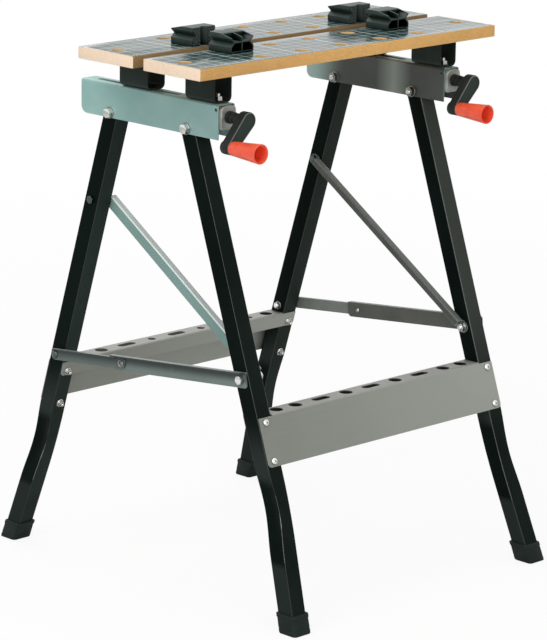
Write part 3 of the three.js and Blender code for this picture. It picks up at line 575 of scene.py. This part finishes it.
def bevel(obj, width, angle):
    edge = obj.modifiers.new("edge", "BEVEL")
    edge.width, edge.segments, edge.limit_method = width / 1000, 2, "ANGLE"
    edge.angle_limit = radians(angle)
    return edge


def subtract(shape, cutters, name, materials, extra=()):
    """The mesh of the shape joined with the extra shapes and cut by the cutters."""
    objs = [add_object(name, s.mesh(name, materials)) for s in (shape, *extra, cutters)]
    for obj in objs[1:]:
        knife = objs[0].modifiers.new("cut", "BOOLEAN")
        knife.operation = "DIFFERENCE" if obj is objs[-1] else "UNION"
        knife.solver, knife.object = "EXACT", obj
    graph = bpy.context.evaluated_depsgraph_get()
    mesh = bpy.data.meshes.new_from_object(objs[0].evaluated_get(graph))
    for obj in objs:
        bpy.data.objects.remove(obj)
    return mesh


def box(a, b):
    return [(-a, -b), (a, -b), (a, b), (-a, b)]


def rounded(points, radius, steps=6):
    """Closed 2-D outline with its corners rounded; radius is one number or one per corner."""
    out, n = [], len(points)
    for i in range(n):
        r = radius[i] if isinstance(radius, (list, tuple)) else radius
        corner = Vector(points[i])
        a, b = Vector(points[i - 1]) - corner, Vector(points[(i + 1) % n]) - corner
        if not r:
            out.append(tuple(corner))
            continue
        half = a.angle(b) / 2
        back = min(r / tan(half), a.length * 0.5, b.length * 0.5)
        start, stop = a.normalized() * back, b.normalized() * back
        centre = (a.normalized() + b.normalized()).normalized() * (back / cos(half))
        p, q = start - centre, stop - centre
        turn = atan2(p.x * q.y - p.y * q.x, p.dot(q))
        for k in range(steps + 1):
            c, s = cos(turn * k / steps), sin(turn * k / steps)
            out.append(tuple(corner + centre + Vector((c * p.x - s * p.y, s * p.x + c * p.y))))
    return out


def pill(a, ra, b, rb, inset=0.0):
    """Outline round two circles, drawn in by inset."""
    along = atan2(b[1] - a[1], b[0] - a[0])
    lean = acos((ra - rb) / dist(a, b))
    out, n = [], 20
    for (cx, cy), r, start, sweep in ((a, ra, along + lean, 2 * pi - 2 * lean),
                                      (b, rb, along - lean, 2 * lean)):
        for i in range(n + 1):
            t = start + sweep * i / n
            out.append((cx + (r - inset) * cos(t), cy + (r - inset) * sin(t)))
    return out


# Planks

def plank(row):
    """Board with flared dog holes; every face takes the material of its place."""
    y, low, turn = PLANK_Y[row], TOP_Z - PLANK_THICK, 0.25
    body, cutters = Shape(), Shape()

    def ring(z, inset):
        a, b = PLANK_HALF - inset, PLANK_WIDE / 2 - inset
        return [(px, y + py, z) for px, py in rounded(box(a, b), 1.2, 3)]

    body.rings([ring(z, inset) for z, inset in (
        (low, PLANK_EDGE), (low + turn, turn), (low + PLANK_EDGE, 0.0),
        (TOP_Z - PLANK_EDGE, 0.0), (TOP_Z - turn, turn), (TOP_Z, PLANK_EDGE))])
    spots = [(i * HOLE_PITCH, y + s * HOLE_ROW) for i in range(-2, 3) for s in (-1, 1)]
    spots += [(-END_HOLE, y), (END_HOLE, y)]
    flare = [(HOLE_R + 0.9, -18), (HOLE_R + 0.9, -17.05), (HOLE_R, -16.2),
             (HOLE_R, -PLANK_EDGE), (HOLE_R + 0.8, 0.05), (HOLE_R + 0.8, 1)]
    for px, py in spots:
        cutters.lathe(flare, (px, py, TOP_Z), (0, 0, 1), 44)
    materials = [PRINT, EDGE, END, HOLE, GAP_EDGE_SHADE]
    mesh = subtract(body, cutters, f"{row}_board", materials)
    for face in mesh.polygons:
        c, n = face.center * 1000, face.normal
        if n.z > 0.99 and c.z > TOP_Z - 0.05:
            material = PRINT
        elif min(dist((c.x, c.y), s) for s in spots) < HOLE_R + 2:
            material = HOLE
        elif abs(n.x) > 0.5 and abs(c.x) > PLANK_HALF - 3:
            material = END
        else:
            # edges that face the jaw gap take the painted shade tone
            material = GAP_EDGE_SHADE if abs(c.y - JAW_GAP_Y) < 14 else EDGE
        face.material_index = materials.index(material)
    smooth(mesh, 32)
    piece(f"{row}_board", mesh, "top" if row == "front" else "rear_jaw", [], [f"{row}_plank"])


for row in PLANK_Y:
    plank(row)


# Legs and feet

def kick(z):
    """How far the leg's axis stands out at that height."""
    slope, start = KICK / KICK_Z, KICK_Z + KICK_BLEND
    if z >= start:
        return 0.0
    if z <= KICK_Z - KICK_BLEND:
        return slope * (KICK_Z - z)
    return slope * (start - z) ** 2 / (4 * KICK_BLEND)


def crimp(z):
    """How deep the outer face is pressed in at that height."""
    t = (z - KICK_Z) / (CRIMP_LONG / 2)
    return CRIMP_DEEP * cos(t * pi / 2) ** 2 if abs(t) < 1 else 0.0


def leg_ring(leg, sign, z, grow=0.0):
    """Outline of a leg at that height, with the crimp pressed into its outer face."""
    hx = LEG_HALF + grow
    hy = hx / cos(leg.lean)
    r = max(LEG_CORNER + grow, 0.8)
    side = [(hx, hy * k / 4) for k in range(-3, 4)]
    corners = [(-hx, -hy), (hx, -hy)] + side + [(hx, hy), (-hx, hy)]
    outline = rounded(corners, [r, r] + [0] * len(side) + [r, r], 5)
    ring = []
    for px, py in outline:
        press = crimp(z) * (0.5 + 0.5 * (1 - min(1.0, abs(py / hy)) ** 2)) if px > hx * 0.3 else 0.0
        ring.append((sign * (LEG_X + kick(z) + px - press), leg.axis_y(z) + py, z))
    return ring


def leg_piece(row, side):
    """Square tube with a crimp and kick near the floor and two rounded ears at the pivot, and its foot."""
    leg, sign = LEGS[row], SIDES[side]
    low, high = KICK_Z - CRIMP_LONG / 2, KICK_Z + CRIMP_LONG / 2
    levels = [5.3, 40, 70] + [low + (high - low) * k / 26 for k in range(27)] + [290, 420, 560, PIVOT_Z]
    shape = Shape()
    rings = [leg_ring(leg, sign, z) for z in levels]
    rings += [leg_ring(leg, sign, z, -LEG_WALL) for z in (PIVOT_Z, 620)]
    shape.rings(rings)
    narrow, tall, sunk = 0.97, 1.25, 4
    arc = [(cos(pi * k / 20) * LEG_HALF, sin(pi * k / 20) * LEG_HALF) for k in range(21)]
    for inner, outer in ((-LEG_HALF, -LEG_HALF + LEG_WALL), (LEG_HALF - LEG_WALL, LEG_HALF)):
        shape.plate(arc, lambda a, b, h: (sign * (LEG_X + h), leg.pivot_y + a * narrow, PIVOT_Z - sunk + b * tall),
                    (inner + TINY, outer - TINY))
    body = f"{row}_frame"
    tube = piece(f"{row}_leg_tube_{side}", shape, body, [LEG_SIDE_SHADED, LEG_FACE_LIT[row], CORNER_HIGHLIGHT[row], GLINT],
                 [f"{row}_leg_{side}"], 40)
    # Painted light and shade: sides take the shaded tone, front and back faces the lit tone, the rounded corners a
    # painted highlight
    for face in tube.data.polygons:
        across, z = abs(face.normal.x), face.center.z * 1000
        # Painted highlight on the outer face of the crimp between these heights
        pressed = face.normal.x * sign > 0 and GLINT_Z[0] < z < GLINT_Z[1]
        face.material_index = 0 if across > 0.86 else 1 if across < 0.5 else 3 if pressed else 2
    foot = Shape()
    skin = [(0, 1.2), (0.5, 2.4), (1.6, 3.1), (6.5, 3.15), (7.0, 2.75), (8.0, 2.75), (8.5, 3.1), (21.5, 2.9),
            (22.2, 3.0), (22.9, 3.5), (26.8, 3.5), (27.6, 3.3), (28, 2.7)]

    def level(z, wall, corner=LEG_CORNER + 1, stretch=1.0):
        a, b = LEG_HALF + wall, (LEG_HALF + wall) * stretch
        return [(sign * (LEG_X + kick(z) + px), leg.axis_y(z) + py, z)
                for px, py in rounded(box(a, b), corner, 5)]

    hollow = [level(z, GAP, LEG_CORNER, 1.06) for z in (28, 12)]
    foot.rings([level(z, wall) for z, wall in skin] + hollow)
    piece(f"{row}_foot_cap_{side}", foot, body, [FOOT], [f"{row}_foot_{side}"], 38)


for row in LEGS:
    for side in SIDES:
        leg_piece(row, side)


# Trays

def strip(path, sheet, radius, steps=5):
    """Outline of a bent strip of sheet about its middle line; radius is the inside of its bends."""
    points = [Vector(p) for p in path]
    left, right = [], []
    for i, p in enumerate(points):
        before = (p - points[i - 1]).normalized() if i else None
        after = (points[i + 1] - p).normalized() if i + 1 < len(points) else None
        bend = before.cross(after) if before and after else 0.0
        d = (before + after).normalized() if bend else before or after
        off = Vector((-d.y, d.x)) * (sheet / 2 * (1 / d.dot(after) if bend else 1))
        inner, outer = (radius, radius + sheet) if bend else (0, 0)
        left.append((p + off, inner if bend > 0 else outer))
        right.append((p - off, inner if bend < 0 else outer))
    loop = left + right[::-1]
    return rounded([tuple(p) for p, r in loop], [r for p, r in loop], steps)


def tray(row):
    """Panel, shelf with tool openings and lip of one sheet, with tabs that reach over the legs."""
    leg = LEGS[row]
    off, top = LEG_HALF + GAP + TRAY_SHEET / 2, TRAY_Z - TRAY_SHEET / 2
    start, lip = leg.down_to(top, off), leg.down_to(top, -off)
    path = [leg.at(start + TRAY_PANEL, off), leg.at(start, off), leg.at(lip, -off), leg.at(lip + TRAY_LIP, -off)]
    inner = LEG_X - LEG_HALF - 0.4
    outline = strip(path, TRAY_SHEET, TRAY_BEND)
    body, cutters = Shape(), Shape()
    body.rings([[(x, y, z) for y, z in outline] for x in (-inner, inner)])
    # Openings as half the straight part and radius of the ends
    middle, large, slot = leg.axis_y(TRAY_Z), (0.01, TRAY_ROUND), (10, TRAY_SMALL)
    other = large if row == "front" else (0.01, TRAY_SMALL)
    spots = [-TRAY_END] + [TRAY_PITCH * k for k in range(-3, 4)] + [TRAY_END]
    for x, (reach, r) in zip(spots, (large, large, slot, other, slot, other, slot, other, large)):
        hole = pill((x - reach, middle), r, (x + reach, middle), r)
        cutters.rings([[(px, py, z) for px, py in hole] for z in (TRAY_Z - 5, TRAY_Z + 5)])
    tabs = []
    for sign in SIDES.values():
        for out, drop in ((off, start + TRAY_PANEL), (-off, lip + TRAY_LIP)):
            upper, lower, half = leg.down_to(TRAY_Z - 1.4, out), drop - TINY, TRAY_SHEET / 2 - TINY
            flat = rounded([(inner - 1, upper), (TRAY_HALF, upper), (TRAY_HALF, lower), (inner - 1, lower)],
                           [0, 1.5, 6, 0])
            tabs.append(Shape().plate(flat, lambda a, b, h: (sign * a, *leg.at(b, h)), (out - half, out + half)))
    mesh = subtract(body, cutters, f"{row}_tray_sheet", [TRAY], tabs)
    smooth(mesh, 32)
    piece(f"{row}_tray_sheet", mesh, f"{row}_frame", [], [f"{row}_tray"])


for row in LEGS:
    tray(row)


# Braces

def bar_frame(start, stop, sign):
    """Places (along, up, out) of a bar between two pivots; out is measured from the leg's middle."""
    along = (Vector(stop) - Vector(start)).normalized()
    up = Vector((-along.y, along.x)) * (1 if along.x > 0 else -1)
    return lambda s, t, u: (sign * (LEG_X + u), *(Vector(start) + along * s + up * t))


def brace(side):
    """Downward channel of bent sheet; its outer wall runs on to the pivots with round ends."""
    place, length = bar_frame(D, C, SIDES[side]), dist(C, D)
    face, half, start, bore = LEG_HALF + GAP, BRACE_SHEET / 2, 6.5, 4.3
    near, far, roof = -face - half, -face - BRACE_DEEP + half, BRACE_HALF - half
    path = [(near, -BRACE_HALF), (near, roof), (far, roof), (far, BRACE_HALF - BRACE_INNER)]
    section = strip(path, BRACE_SHEET, 1.1, 7)
    shape = Shape()
    shape.rings([[place(s, t, u) for u, t in section] for s in (start, length - start)])
    r, inside, outside = BRACE_HALF - TINY, -face - TINY, -face - BRACE_SHEET + TINY

    def reach(c, w):
        """Distance to the outline: round past the pivot, square where it runs into the channel."""
        return r if c > 0 else min(r / max(abs(w), 0.01), (start + 0.3) / max(-c, 0.01))

    outline = [(c * reach(c, w), w * reach(c, w)) for c, w in circle(48)]
    hole = [(c * bore, w * bore) for c, w in circle(48)]
    for pivot, way in ((0.0, -1), (length, 1)):
        rings = [[place(pivot + way * a, b, u) for a, b in loop]
                 for loop, u in ((outline, outside), (outline, inside), (hole, inside), (hole, outside))]
        shape.rings(rings + rings[:1], caps=(False, False))
    obj = piece(f"brace_channel_{side}", shape, f"brace_{side}", [BRACE], [f"brace_{side}"])
    bevel(obj, 0.3, 50)


for side in SIDES:
    brace(side)


# Fasteners

def head(shape, sign, p, u, across=13.0, height=5.5, washer=0.0, dome=False, stub=0.0, kind=0):
    """Washer and head at distance u from the leg's middle, facing away from it."""
    at, axis = (sign * (LEG_X + u), *p), (copysign(1, sign * u), 0, 0)
    rise = 0.0
    if washer:
        shape.lathe([(washer - 0.3, 0), (washer, 0.3), (washer, 0.9), (washer - 0.3, 1.2)], at, axis, 36, 1)
        rise = 1.2
    seat = tuple(Vector(at) + Vector(axis) * rise)
    if dome:
        r, rim = across / 2, 0.5
        cap = [(r * c, rim + (height - rim) * s) for c, s in quarter(8, 7)]
        shape.lathe([(r, 0), (r, rim)] + cap + [(0.3, height)], seat, axis, 36)
    else:
        shape.hexagon(across, height, seat, axis, 4.1 if stub else 0.0, kind)
    if stub:
        pitch, ribs = 0.6, [(3.2, height - 2)]
        for k in range(int(stub / pitch)):
            ribs += [(3.95, height - 1 + pitch * k), (3.55, height - 1 + pitch * k + pitch / 2)]
        shape.lathe(ribs + [(3.0, ribs[-1][1] + 0.5)], seat, axis, 24)


def pan_head(shape, spot, axis):
    """Domed head with its cross recess drawn as two dark plates of painted shade."""
    radius, height, rim, arm, half = 5.1, 2.9, 0.7, 2.3, 0.55
    dome = [(radius - 0.2, -0.1), (radius, 0.2), (radius, rim)]
    dome += [(radius * c, rim + (height - rim) * s) for c, s in quarter(7, 5)]
    shape.lathe(dome + [(1.2, height), (0.9, height - 1.0)], spot, axis, 32)
    u = axis.orthogonal().normalized()
    w = axis.cross(u)
    # dark plates of painted shade stand for the cross recess
    for a, b in ((u, w), (w, u)):
        shape.plate(box(arm, half), lambda p, q, h: spot + a * p + b * q + axis * h,
                    (height - 0.9, height - 0.22), 1)


def fastener(name, side, body, materials, node, p, shank, *heads, spacer=False):
    """Heads on a shank about pivot p; the shank runs between two distances from the leg's middle."""
    s, sign = Shape(), SIDES[side]
    for options in heads:
        head(s, sign, p, **options)
    s.lathe([(4.0, u) for u in shank], (sign * LEG_X, *p), (sign, 0, 0), 24)
    if spacer:
        ring = [(5.7, 0), (6, 0.3), (6, 1.7), (5.7, 2.0)]
        s.lathe(ring, (sign * (LEG_X + LEG_HALF + GAP), *p), (sign, 0, 0), 32)
    piece(f"{name}_{side}", s, body, materials, [f"{node}_{side}"])


def pivot_fasteners(side):
    """Bolts, rivets and locknuts of the rails, links and braces."""
    plated, face = [ZINC, WASHER], LEG_HALF + GAP
    for row, p in (("front", B), ("rear", A)):
        fastener(f"{row}_pivot_fastener", side, "top", plated + [NUT_SHADED], f"{row}_pivot_bolt", p,
                 (-RAIL_OUT - 1, RAIL_OUT + 1), dict(u=RAIL_OUT + GAP, washer=8.5),
                 dict(u=-RAIL_OUT - GAP, washer=8.5, stub=3.2, kind=2))
    over_link, under_brace = face + LINK_SHEET + GAP, -face - BRACE_SHEET - GAP
    fastener("link_fastener", side, "front_frame", plated, "link_bolt", D, (-LEG_HALF - 3, over_link + 1),
             dict(u=over_link, across=11.5), dict(u=under_brace, across=11, height=5, washer=7.4, stub=3.0))
    fastener("link_spacer", side, "rear_frame", plated, "short_link_bolt", E, (-LEG_HALF - 1, LEG_HALF + 1),
             dict(u=-face, across=10, height=4, washer=6.6, stub=2.4), spacer=True)
    seat = over_link + LINK_SHEET + GAP
    fastener("link_end_rivet", side, f"short_link_{side}", [SHADED_ZINC], "short_link_rivet", E,
             (over_link - GAP / 2, seat + 1), dict(u=seat, across=12, height=2.6, dome=True))
    fastener("brace_fastener", side, "rear_frame", [SHADED_ZINC], "brace_bolt", C, (-LEG_HALF + 2, LEG_HALF + 2),
             dict(u=face, across=11, height=4))
    fastener("brace_locknut", side, f"brace_{side}", [SHADED_ZINC], "brace_nut", C, (-face - 3, -face),
             dict(u=under_brace, across=11, height=4.5, stub=2.4))


def link_eyelet(side):
    """Hollow rivet that joins the long and the short link."""
    sign = SIDES[side]
    s, place = Shape(), bar_frame(D, E, sign)
    wall = [(3.3, 14.35), (3.36, 14.4), (3.36, 18.7), (3.5, 18.9), (5.2, 18.9), (5.5, 19.2), (5.2, 19.65),
            (4.4, 19.6), (3.4, 18.9), (3.12, 17.8), (3.1, 14.4)]
    s.lathe(wall + wall[:1], (sign * LEG_X, *place(LONG_LINK, 0, 0)[1:]), (sign, 0, 0), 40, caps=(False, False))
    piece(f"link_eyelet_{side}", s, f"long_link_{side}", [NUT_SHADED], [f"link_rivet_{side}"])


def tray_bolts(row, side):
    """Two bolts through the leg, with their heads outside and washers and nuts inside."""
    leg, sheet_out = LEGS[row], LEG_HALF + GAP + TRAY_SHEET
    start = leg.down_to(TRAY_Z - TRAY_SHEET / 2, LEG_HALF + GAP + TRAY_SHEET / 2)
    s = Shape()
    for down in (8.4, 64.0):
        for out in (1, -1):
            reach = sheet_out if out > 0 or down < TRAY_LIP else LEG_HALF
            spot = Vector((SIDES[side] * (LEG_X + 0.6), *leg.at(start + down, out * reach)))
            axis = Vector((0, *leg.at(start + down, out * (reach + 1)))) - Vector((0, spot.y, spot.z))
            if out > 0:
                pan_head(s, spot, axis)
            else:
                s.lathe([(6.0, -0.1), (6.2, 0.2), (6.2, 0.8), (5.9, 1.1)], spot, axis, 28)
                s.hexagon(8.0, 3.6, spot + axis * 1.1, axis, 2.6)
                s.lathe([(2.4, 0), (2.4, 7.2), (1.9, 7.8)], spot, axis, 20)
    piece(f"{row}_tray_bolts_{side}", s, f"{row}_frame", [ZINC, RECESS_SHADE], ())


for side in SIDES:
    pivot_fasteners(side)
    link_eyelet(side)
    for row in LEGS:
        tray_bolts(row, side)


# Jaw screws, cranks and grips

def screw(side):
    """Spindle with a cut thread, a collar behind the bearing block and a plain shaft into the crank."""
    x, start, turns, n = SIDES[side] * LEG_X, -113.5, 60, 14
    tooth = ((4.1, 0.5), (5.0, 1.5), (5.0, 2.4), (4.1, 3.4))
    s, rows = Shape(), []
    for k in range(turns * n + 1):
        t, y = 2 * pi * k / n, start + SCREW_PITCH * k / n
        rows.append([(x + r * cos(t), y + dy, SCREW_Z + r * sin(t)) for r, dy in tooth])
    s.rings(rows)
    s.lathe([(4.3, 0), (4.3, 243.5), (3.2, 244.8)], (x, start, SCREW_Z), (0, 1, 0), 24)
    s.lathe([(7.4, 0), (8, 0.5), (8, 4.5), (7.4, 5)], (x, -119.7, SCREW_Z), (0, 1, 0), 32)
    s.lathe([(5, 0), (5, 40)], (x, -158.4, SCREW_Z), (0, 1, 0), 24)
    piece(f"threaded_spindle_{side}", s, f"vise_screw_{side}", [STEEL], [f"screw_{side}"], 40)


def crank(side):
    """Arm with a groove round it and a stippled face inside a raised rim, and a stepped sleeve behind."""
    x = SIDES[side] * LEG_X
    s = Shape()

    def loop(y, inset):
        return [(x + a, y, SCREW_Z + b) for a, b in pill((0, 0), 12.5, TIP, 10.0, inset)]

    loops = [(-166.3, 2.2), (-166.9, 0.8), (-168.2, 0.0), (-173.2, 0.0), (-173.7, 0.35), (-174.7, 0.35),
             (-175.2, 0.0), (-179.9, 0.0), (-180.9, 0.4), (-181.3, 1.1), (-181.3, 1.9), (-180.5, 2.4)]
    # the rim's rounded edge takes the painted highlight tone
    kinds = [0] * 8 + [2, 2, 0]
    s.rings([loop(y, i) for y, i in loops], 0, (True, 1), kinds)
    sleeve = [(8.6, 0), (9.0, 0.5), (9.0, 4.6), (8.5, 5.1), (7.3, 5.4), (7.3, 7.0), (8.1, 7.3), (8.3, 7.8),
              (8.3, 12.2), (7.9, 12.6), (7.2, 12.9), (7.2, 14.6), (7.75, 14.9), (7.75, 24.0), (8.6, 26.2)]
    s.lathe(sleeve, (x, -140.3, SCREW_Z), (0, -1, 0), 44)
    s.lathe([(9.6, 0), (9.6, 0.6), (9.0, 1.4), (0.4, 1.9)], (x + TIP[0], -166.4, SCREW_Z + TIP[1]), (0, 1, 0), 40)
    piece(f"crank_arm_{side}", s, f"vise_screw_{side}", [CRANK, STIPPLE, RIM_HIGHLIGHT], [f"crank_{side}"], 34)


def grip(side):
    """Hollow tapered grip with four ribs inside."""
    x, y, z = SIDES[side] * LEG_X + TIP[0], -181.6, SCREW_Z + TIP[1]
    s = Shape()
    outside = [(3.3, 0), (9.0, 0), (9.7, 0.3), (10.0, 1.0), (10.1, 2.6), (10.25, 3.0), (14.1, 53.6), (14.3, 54.6),
               (14.15, 55.6), (13.6, 56.0), (12.7, 56.0), (12.15, 55.4)]
    inside = outside[-1:] + [(9.0, 13.0), (8.2, 12.1), (3.3, 12.0)] + outside[:1]
    # the inside wall and ribs take the brighter red of painted light
    for kind, wall in enumerate((outside, inside)):
        s.lathe(wall, (x, y, z), (0, -1, 0), 56, kind, (False, False))
    for k in range(4):
        t = pi / 4 + k * pi / 2
        c, w = cos(t), sin(t)
        s.plate([(6.4, 12.0), (9.0, 12.2), (12.0, 50.0), (11.2, 50.0)],
                lambda a, b, h: (x + a * c - h * w, y - b, z + a * w + h * c), (-0.7, 0.7), 1)
    piece(f"grip_moulding_{side}", s, f"grip_{side}", [RED, RED_INSIDE_LIT], [f"grip_{side}"], 36)


for side in SIDES:
    screw(side)
    crank(side)
    grip(side)


# Dogs: diamond knurling on the jaw faces

def knurl(row, side):
    """Diamond points on both flats of a jaw face, left out where the side grooves run."""
    x0, y, turn = SIDES[side] * DOG_X, DOG_FACE[row], 1 if row == "front" else -1
    wide, high, fill, rise, sunk = 2.5, 2.45, 0.97, 1.5, 0.05
    (first_x, last_x), (first_z, last_z) = (9.6, 22.3), (2.9, 26.8)
    groove_x, groove_z, groove_half = 22.5, 15.0, 8.2
    s = Shape()
    for half in (-1, 1):
        for i in range(6):
            for k in range(i % 2, 10, 2):
                dx, dz = first_x + wide * i, first_z + high * k
                in_groove = abs(dz - groove_z) < groove_half - (groove_x - dx)
                if dx + wide > last_x or dz + high > last_z or in_groove:
                    continue
                cx, cz, low = x0 + half * dx, TOP_Z + GAP + dz, y - turn * sunk
                a, b = wide * fill, high * fill
                s.add([(cx - a, low, cz), (cx, low, cz - b), (cx + a, low, cz), (cx, low, cz + b),
                       (cx, y + turn * rise, cz)],
                      [[0, 1, 4], [1, 2, 4], [2, 3, 4], [3, 0, 4], [0, 3, 2, 1]])
    piece(f"{row}_dog_knurl_{side}", s, f"{row}_dog_{side}", [KNURL], (), sharp=10)


for row in PLANK_Y:
    for side in SIDES:
        knurl(row, side)


# Bracket bolts, plank screws and the rivets that hold the bearing blocks

def bracket_details(row, side):
    """Heads of the plank screws and, in front, the washers and nuts that hold the bracket on its rail."""
    x, y, up = SIDES[side] * LEG_X, PLANK_Y[row], (0, 0, 1)
    roof = BRACKET_TOP - BRACKET_SHEET
    base, washer = BRACKET_TOP - BRACKET_HIGH + BRACKET_SHEET + GAP, 1.3
    s = Shape()
    for dy in (-20.0, 20.0):
        for dx in (-11.6, 11.6):
            s.lathe([(0.5, -2.3), (2.6, -2.0), (3.6, -1.2), (3.9, 0)], (x + dx, y + dy, roof), up, 24)
    if row == "front":
        for dy in (-20.0, 20.0):
            seat = (x, y + dy, base + washer)
            s.lathe([(7.4, -0.1), (7.6, 0.3), (7.6, 1.0), (7.3, washer)], (x, y + dy, base), up, 32)
            s.hexagon(11.0, 5.0, seat, up, 3.4)
            s.lathe([(3.0, 0), (3.0, 8.5), (2.5, 9)], seat, up, 20)
    body = "top" if row == "front" else "rear_jaw"
    piece(f"{row}_bracket_screws_{side}", s, body, [ZINC], ())


def block_rivets(side):
    """Rivets through the rail's walls into the bearing block."""
    s = Shape()
    for out in (1, -1):
        at = (SIDES[side] * LEG_X + out * RAIL_OUT, -130.5, 723.5)
        s.lathe([(2.5, -0.1), (2.5, 0.15), (2.1, 0.5), (1.7, 0.45), (1.6, 0.08)], at, (out, 0, 0), 24)
        # a dark disc of painted shade in each rivet's hollow
        s.lathe([(1.55, 0.05), (1.5, 0.14)], at, (out, 0, 0), 16, kind=1)
    piece(f"block_rivets_{side}", s, "top", [SHADED_ZINC, RECESS_SHADE], ())


for side in SIDES:
    block_rivets(side)
    for row in PLANK_Y:
        bracket_details(row, side)


# Finish of the CAD pieces that show as they are

def smooth_by_angle(limit):
    """Geometry nodes that shade every face smooth and keep the edges above the limit sharp."""
    tree = bpy.data.node_groups.new("smooth_by_angle", "GeometryNodeTree")
    for way in ("INPUT", "OUTPUT"):
        tree.interface.new_socket("Geometry", in_out=way, socket_type="NodeSocketGeometry")
    start, end = tree.nodes.new("NodeGroupInput"), tree.nodes.new("NodeGroupOutput")
    angle, test = tree.nodes.new("GeometryNodeInputMeshEdgeAngle"), tree.nodes.new("FunctionNodeCompare")
    test.operation = "LESS_EQUAL"
    test.inputs[1].default_value = radians(limit)
    faces, edges = (tree.nodes.new("GeometryNodeSetShadeSmooth") for _ in range(2))
    faces.domain, edges.domain = "FACE", "EDGE"
    tree.links.new(angle.outputs["Unsigned Angle"], test.inputs[0])
    tree.links.new(test.outputs[0], edges.inputs["Shade Smooth"])
    for out, into in ((start, faces), (faces, edges), (edges, end)):
        tree.links.new(out.outputs[0], into.inputs[0])
    return tree


SMOOTH = smooth_by_angle(35.0)


def dress(node, material, width):
    """Material, fine bevels and smooth shading for a CAD piece."""
    obj = nodes[node]
    obj.data.materials.clear()
    obj.data.materials.append(material)
    obj.modifiers.new("weld", "WELD").merge_threshold = 1e-5
    bevel(obj, width, 40).use_clamp_overlap = False
    obj.modifiers.new("shade", "NODES").node_group = SMOOTH
    obj.modifiers.new("flats", "WEIGHTED_NORMAL").keep_sharp = True


for side in SIDES:
    for node, material, width in (
            ("rail", FRAME, 0.3), ("front_bracket", BRACKET, 0.3), ("rear_bracket", BRACKET, 0.3),
            ("bearing_block", CAST, 0.6), ("screw_nut", STEEL, 0.4), ("grip_pin", ZINC, 0.2),
            ("long_link", LINK, 0.3), ("short_link", SHORT_LINK, 0.3),
            ("front_dog", DOG, 0.45), ("rear_dog", DOG, 0.45)):
        dress(f"{node}_{side}", material, width)


# Floor, light and camera

def floor():
    """White floor that takes the soft shadow near the bench and fades into the background further out."""
    half, drop = 9.0, 0.0004
    mesh = bpy.data.meshes.new("floor")
    mesh.from_pydata([(x, y, 0) for x, y in box(half, half)], [], [(0, 1, 2, 3)])
    obj = add_object("floor", mesh)
    obj.location.z = -drop
    mat = bpy.data.materials.new("floor")
    n = Nodes(mat)
    n.tree.nodes.clear()
    away = n.node("VectorMath", {"operation": "LENGTH"})
    n.plug(n.node("TexCoord").outputs["Object"], away.inputs[0])
    fade = n.node("MapRange", Value=away.outputs["Value"], From_Min=0.7, From_Max=3.0,
                  To_Min=0.88, To_Max=1.0)
    seen = n.node("LightPath").outputs["Is Camera Ray"]
    n.output("OutputMaterial", n.math("MULTIPLY", seen, fade.outputs[0]),
             n.node("BsdfDiffuse", Color=(0.92, 0.92, 0.92, 1)),
             n.node("Emission", Strength=1.0))
    mesh.materials.append(mat)


def world():
    """White all round: plain white to the camera and in reflections, dimmer as a light."""
    sky = bpy.data.worlds.new("studio")
    bpy.context.scene.world = sky
    n = Nodes(sky)
    n.tree.nodes.clear()
    rays = n.node("LightPath").outputs
    dim, white = (n.node("Background", Color=(1, 1, 1, 1), Strength=s) for s in (0.4, 1.0))
    n.output("OutputWorld", n.math("MAXIMUM", rays["Is Camera Ray"], rays["Is Glossy Ray"]), dim, white)


def lamp(name, spot, target, size, watts):
    light = bpy.data.lights.new(name, "AREA")
    light.shape, light.size, light.energy = "DISK", size, watts
    obj = add_object(name, light)
    obj.location = spot
    obj.rotation_euler = (Vector(spot) - Vector(target)).to_track_quat("Z", "Y").to_euler()


floor()
world()
lamp("key", (-2.6, -0.6, 2.2), (0, 0, 0.5), 2.6, 48)
lamp("fill", (-1.2, -3.0, 1.6), (0, 0, 0.5), 2.6, 30)
lamp("top", (0.2, 0.4, 3.2), (0, 0, 0.6), 2.4, 22)
lamp("rear", (1.0, 3.2, 2.8), (0, 0, 0.5), 2.4, 26)

# The view was fitted to the photograph
camera = bpy.data.cameras.new("camera")
camera.lens, camera.sensor_width, camera.sensor_fit = 192.265, 36.0, "AUTO"
view = add_object("camera", camera)
view.matrix_world = Matrix((
    (0.713514, 0.159823, -0.682168, -3.485394),
    (-0.700508, 0.181656, -0.690137, -3.525944),
    (0.013620, 0.970287, 0.241572, 1.591124),
    (0, 0, 0, 1)))
bpy.context.scene.camera = view
bpy.context.scene.view_settings.view_transform = "Standard"
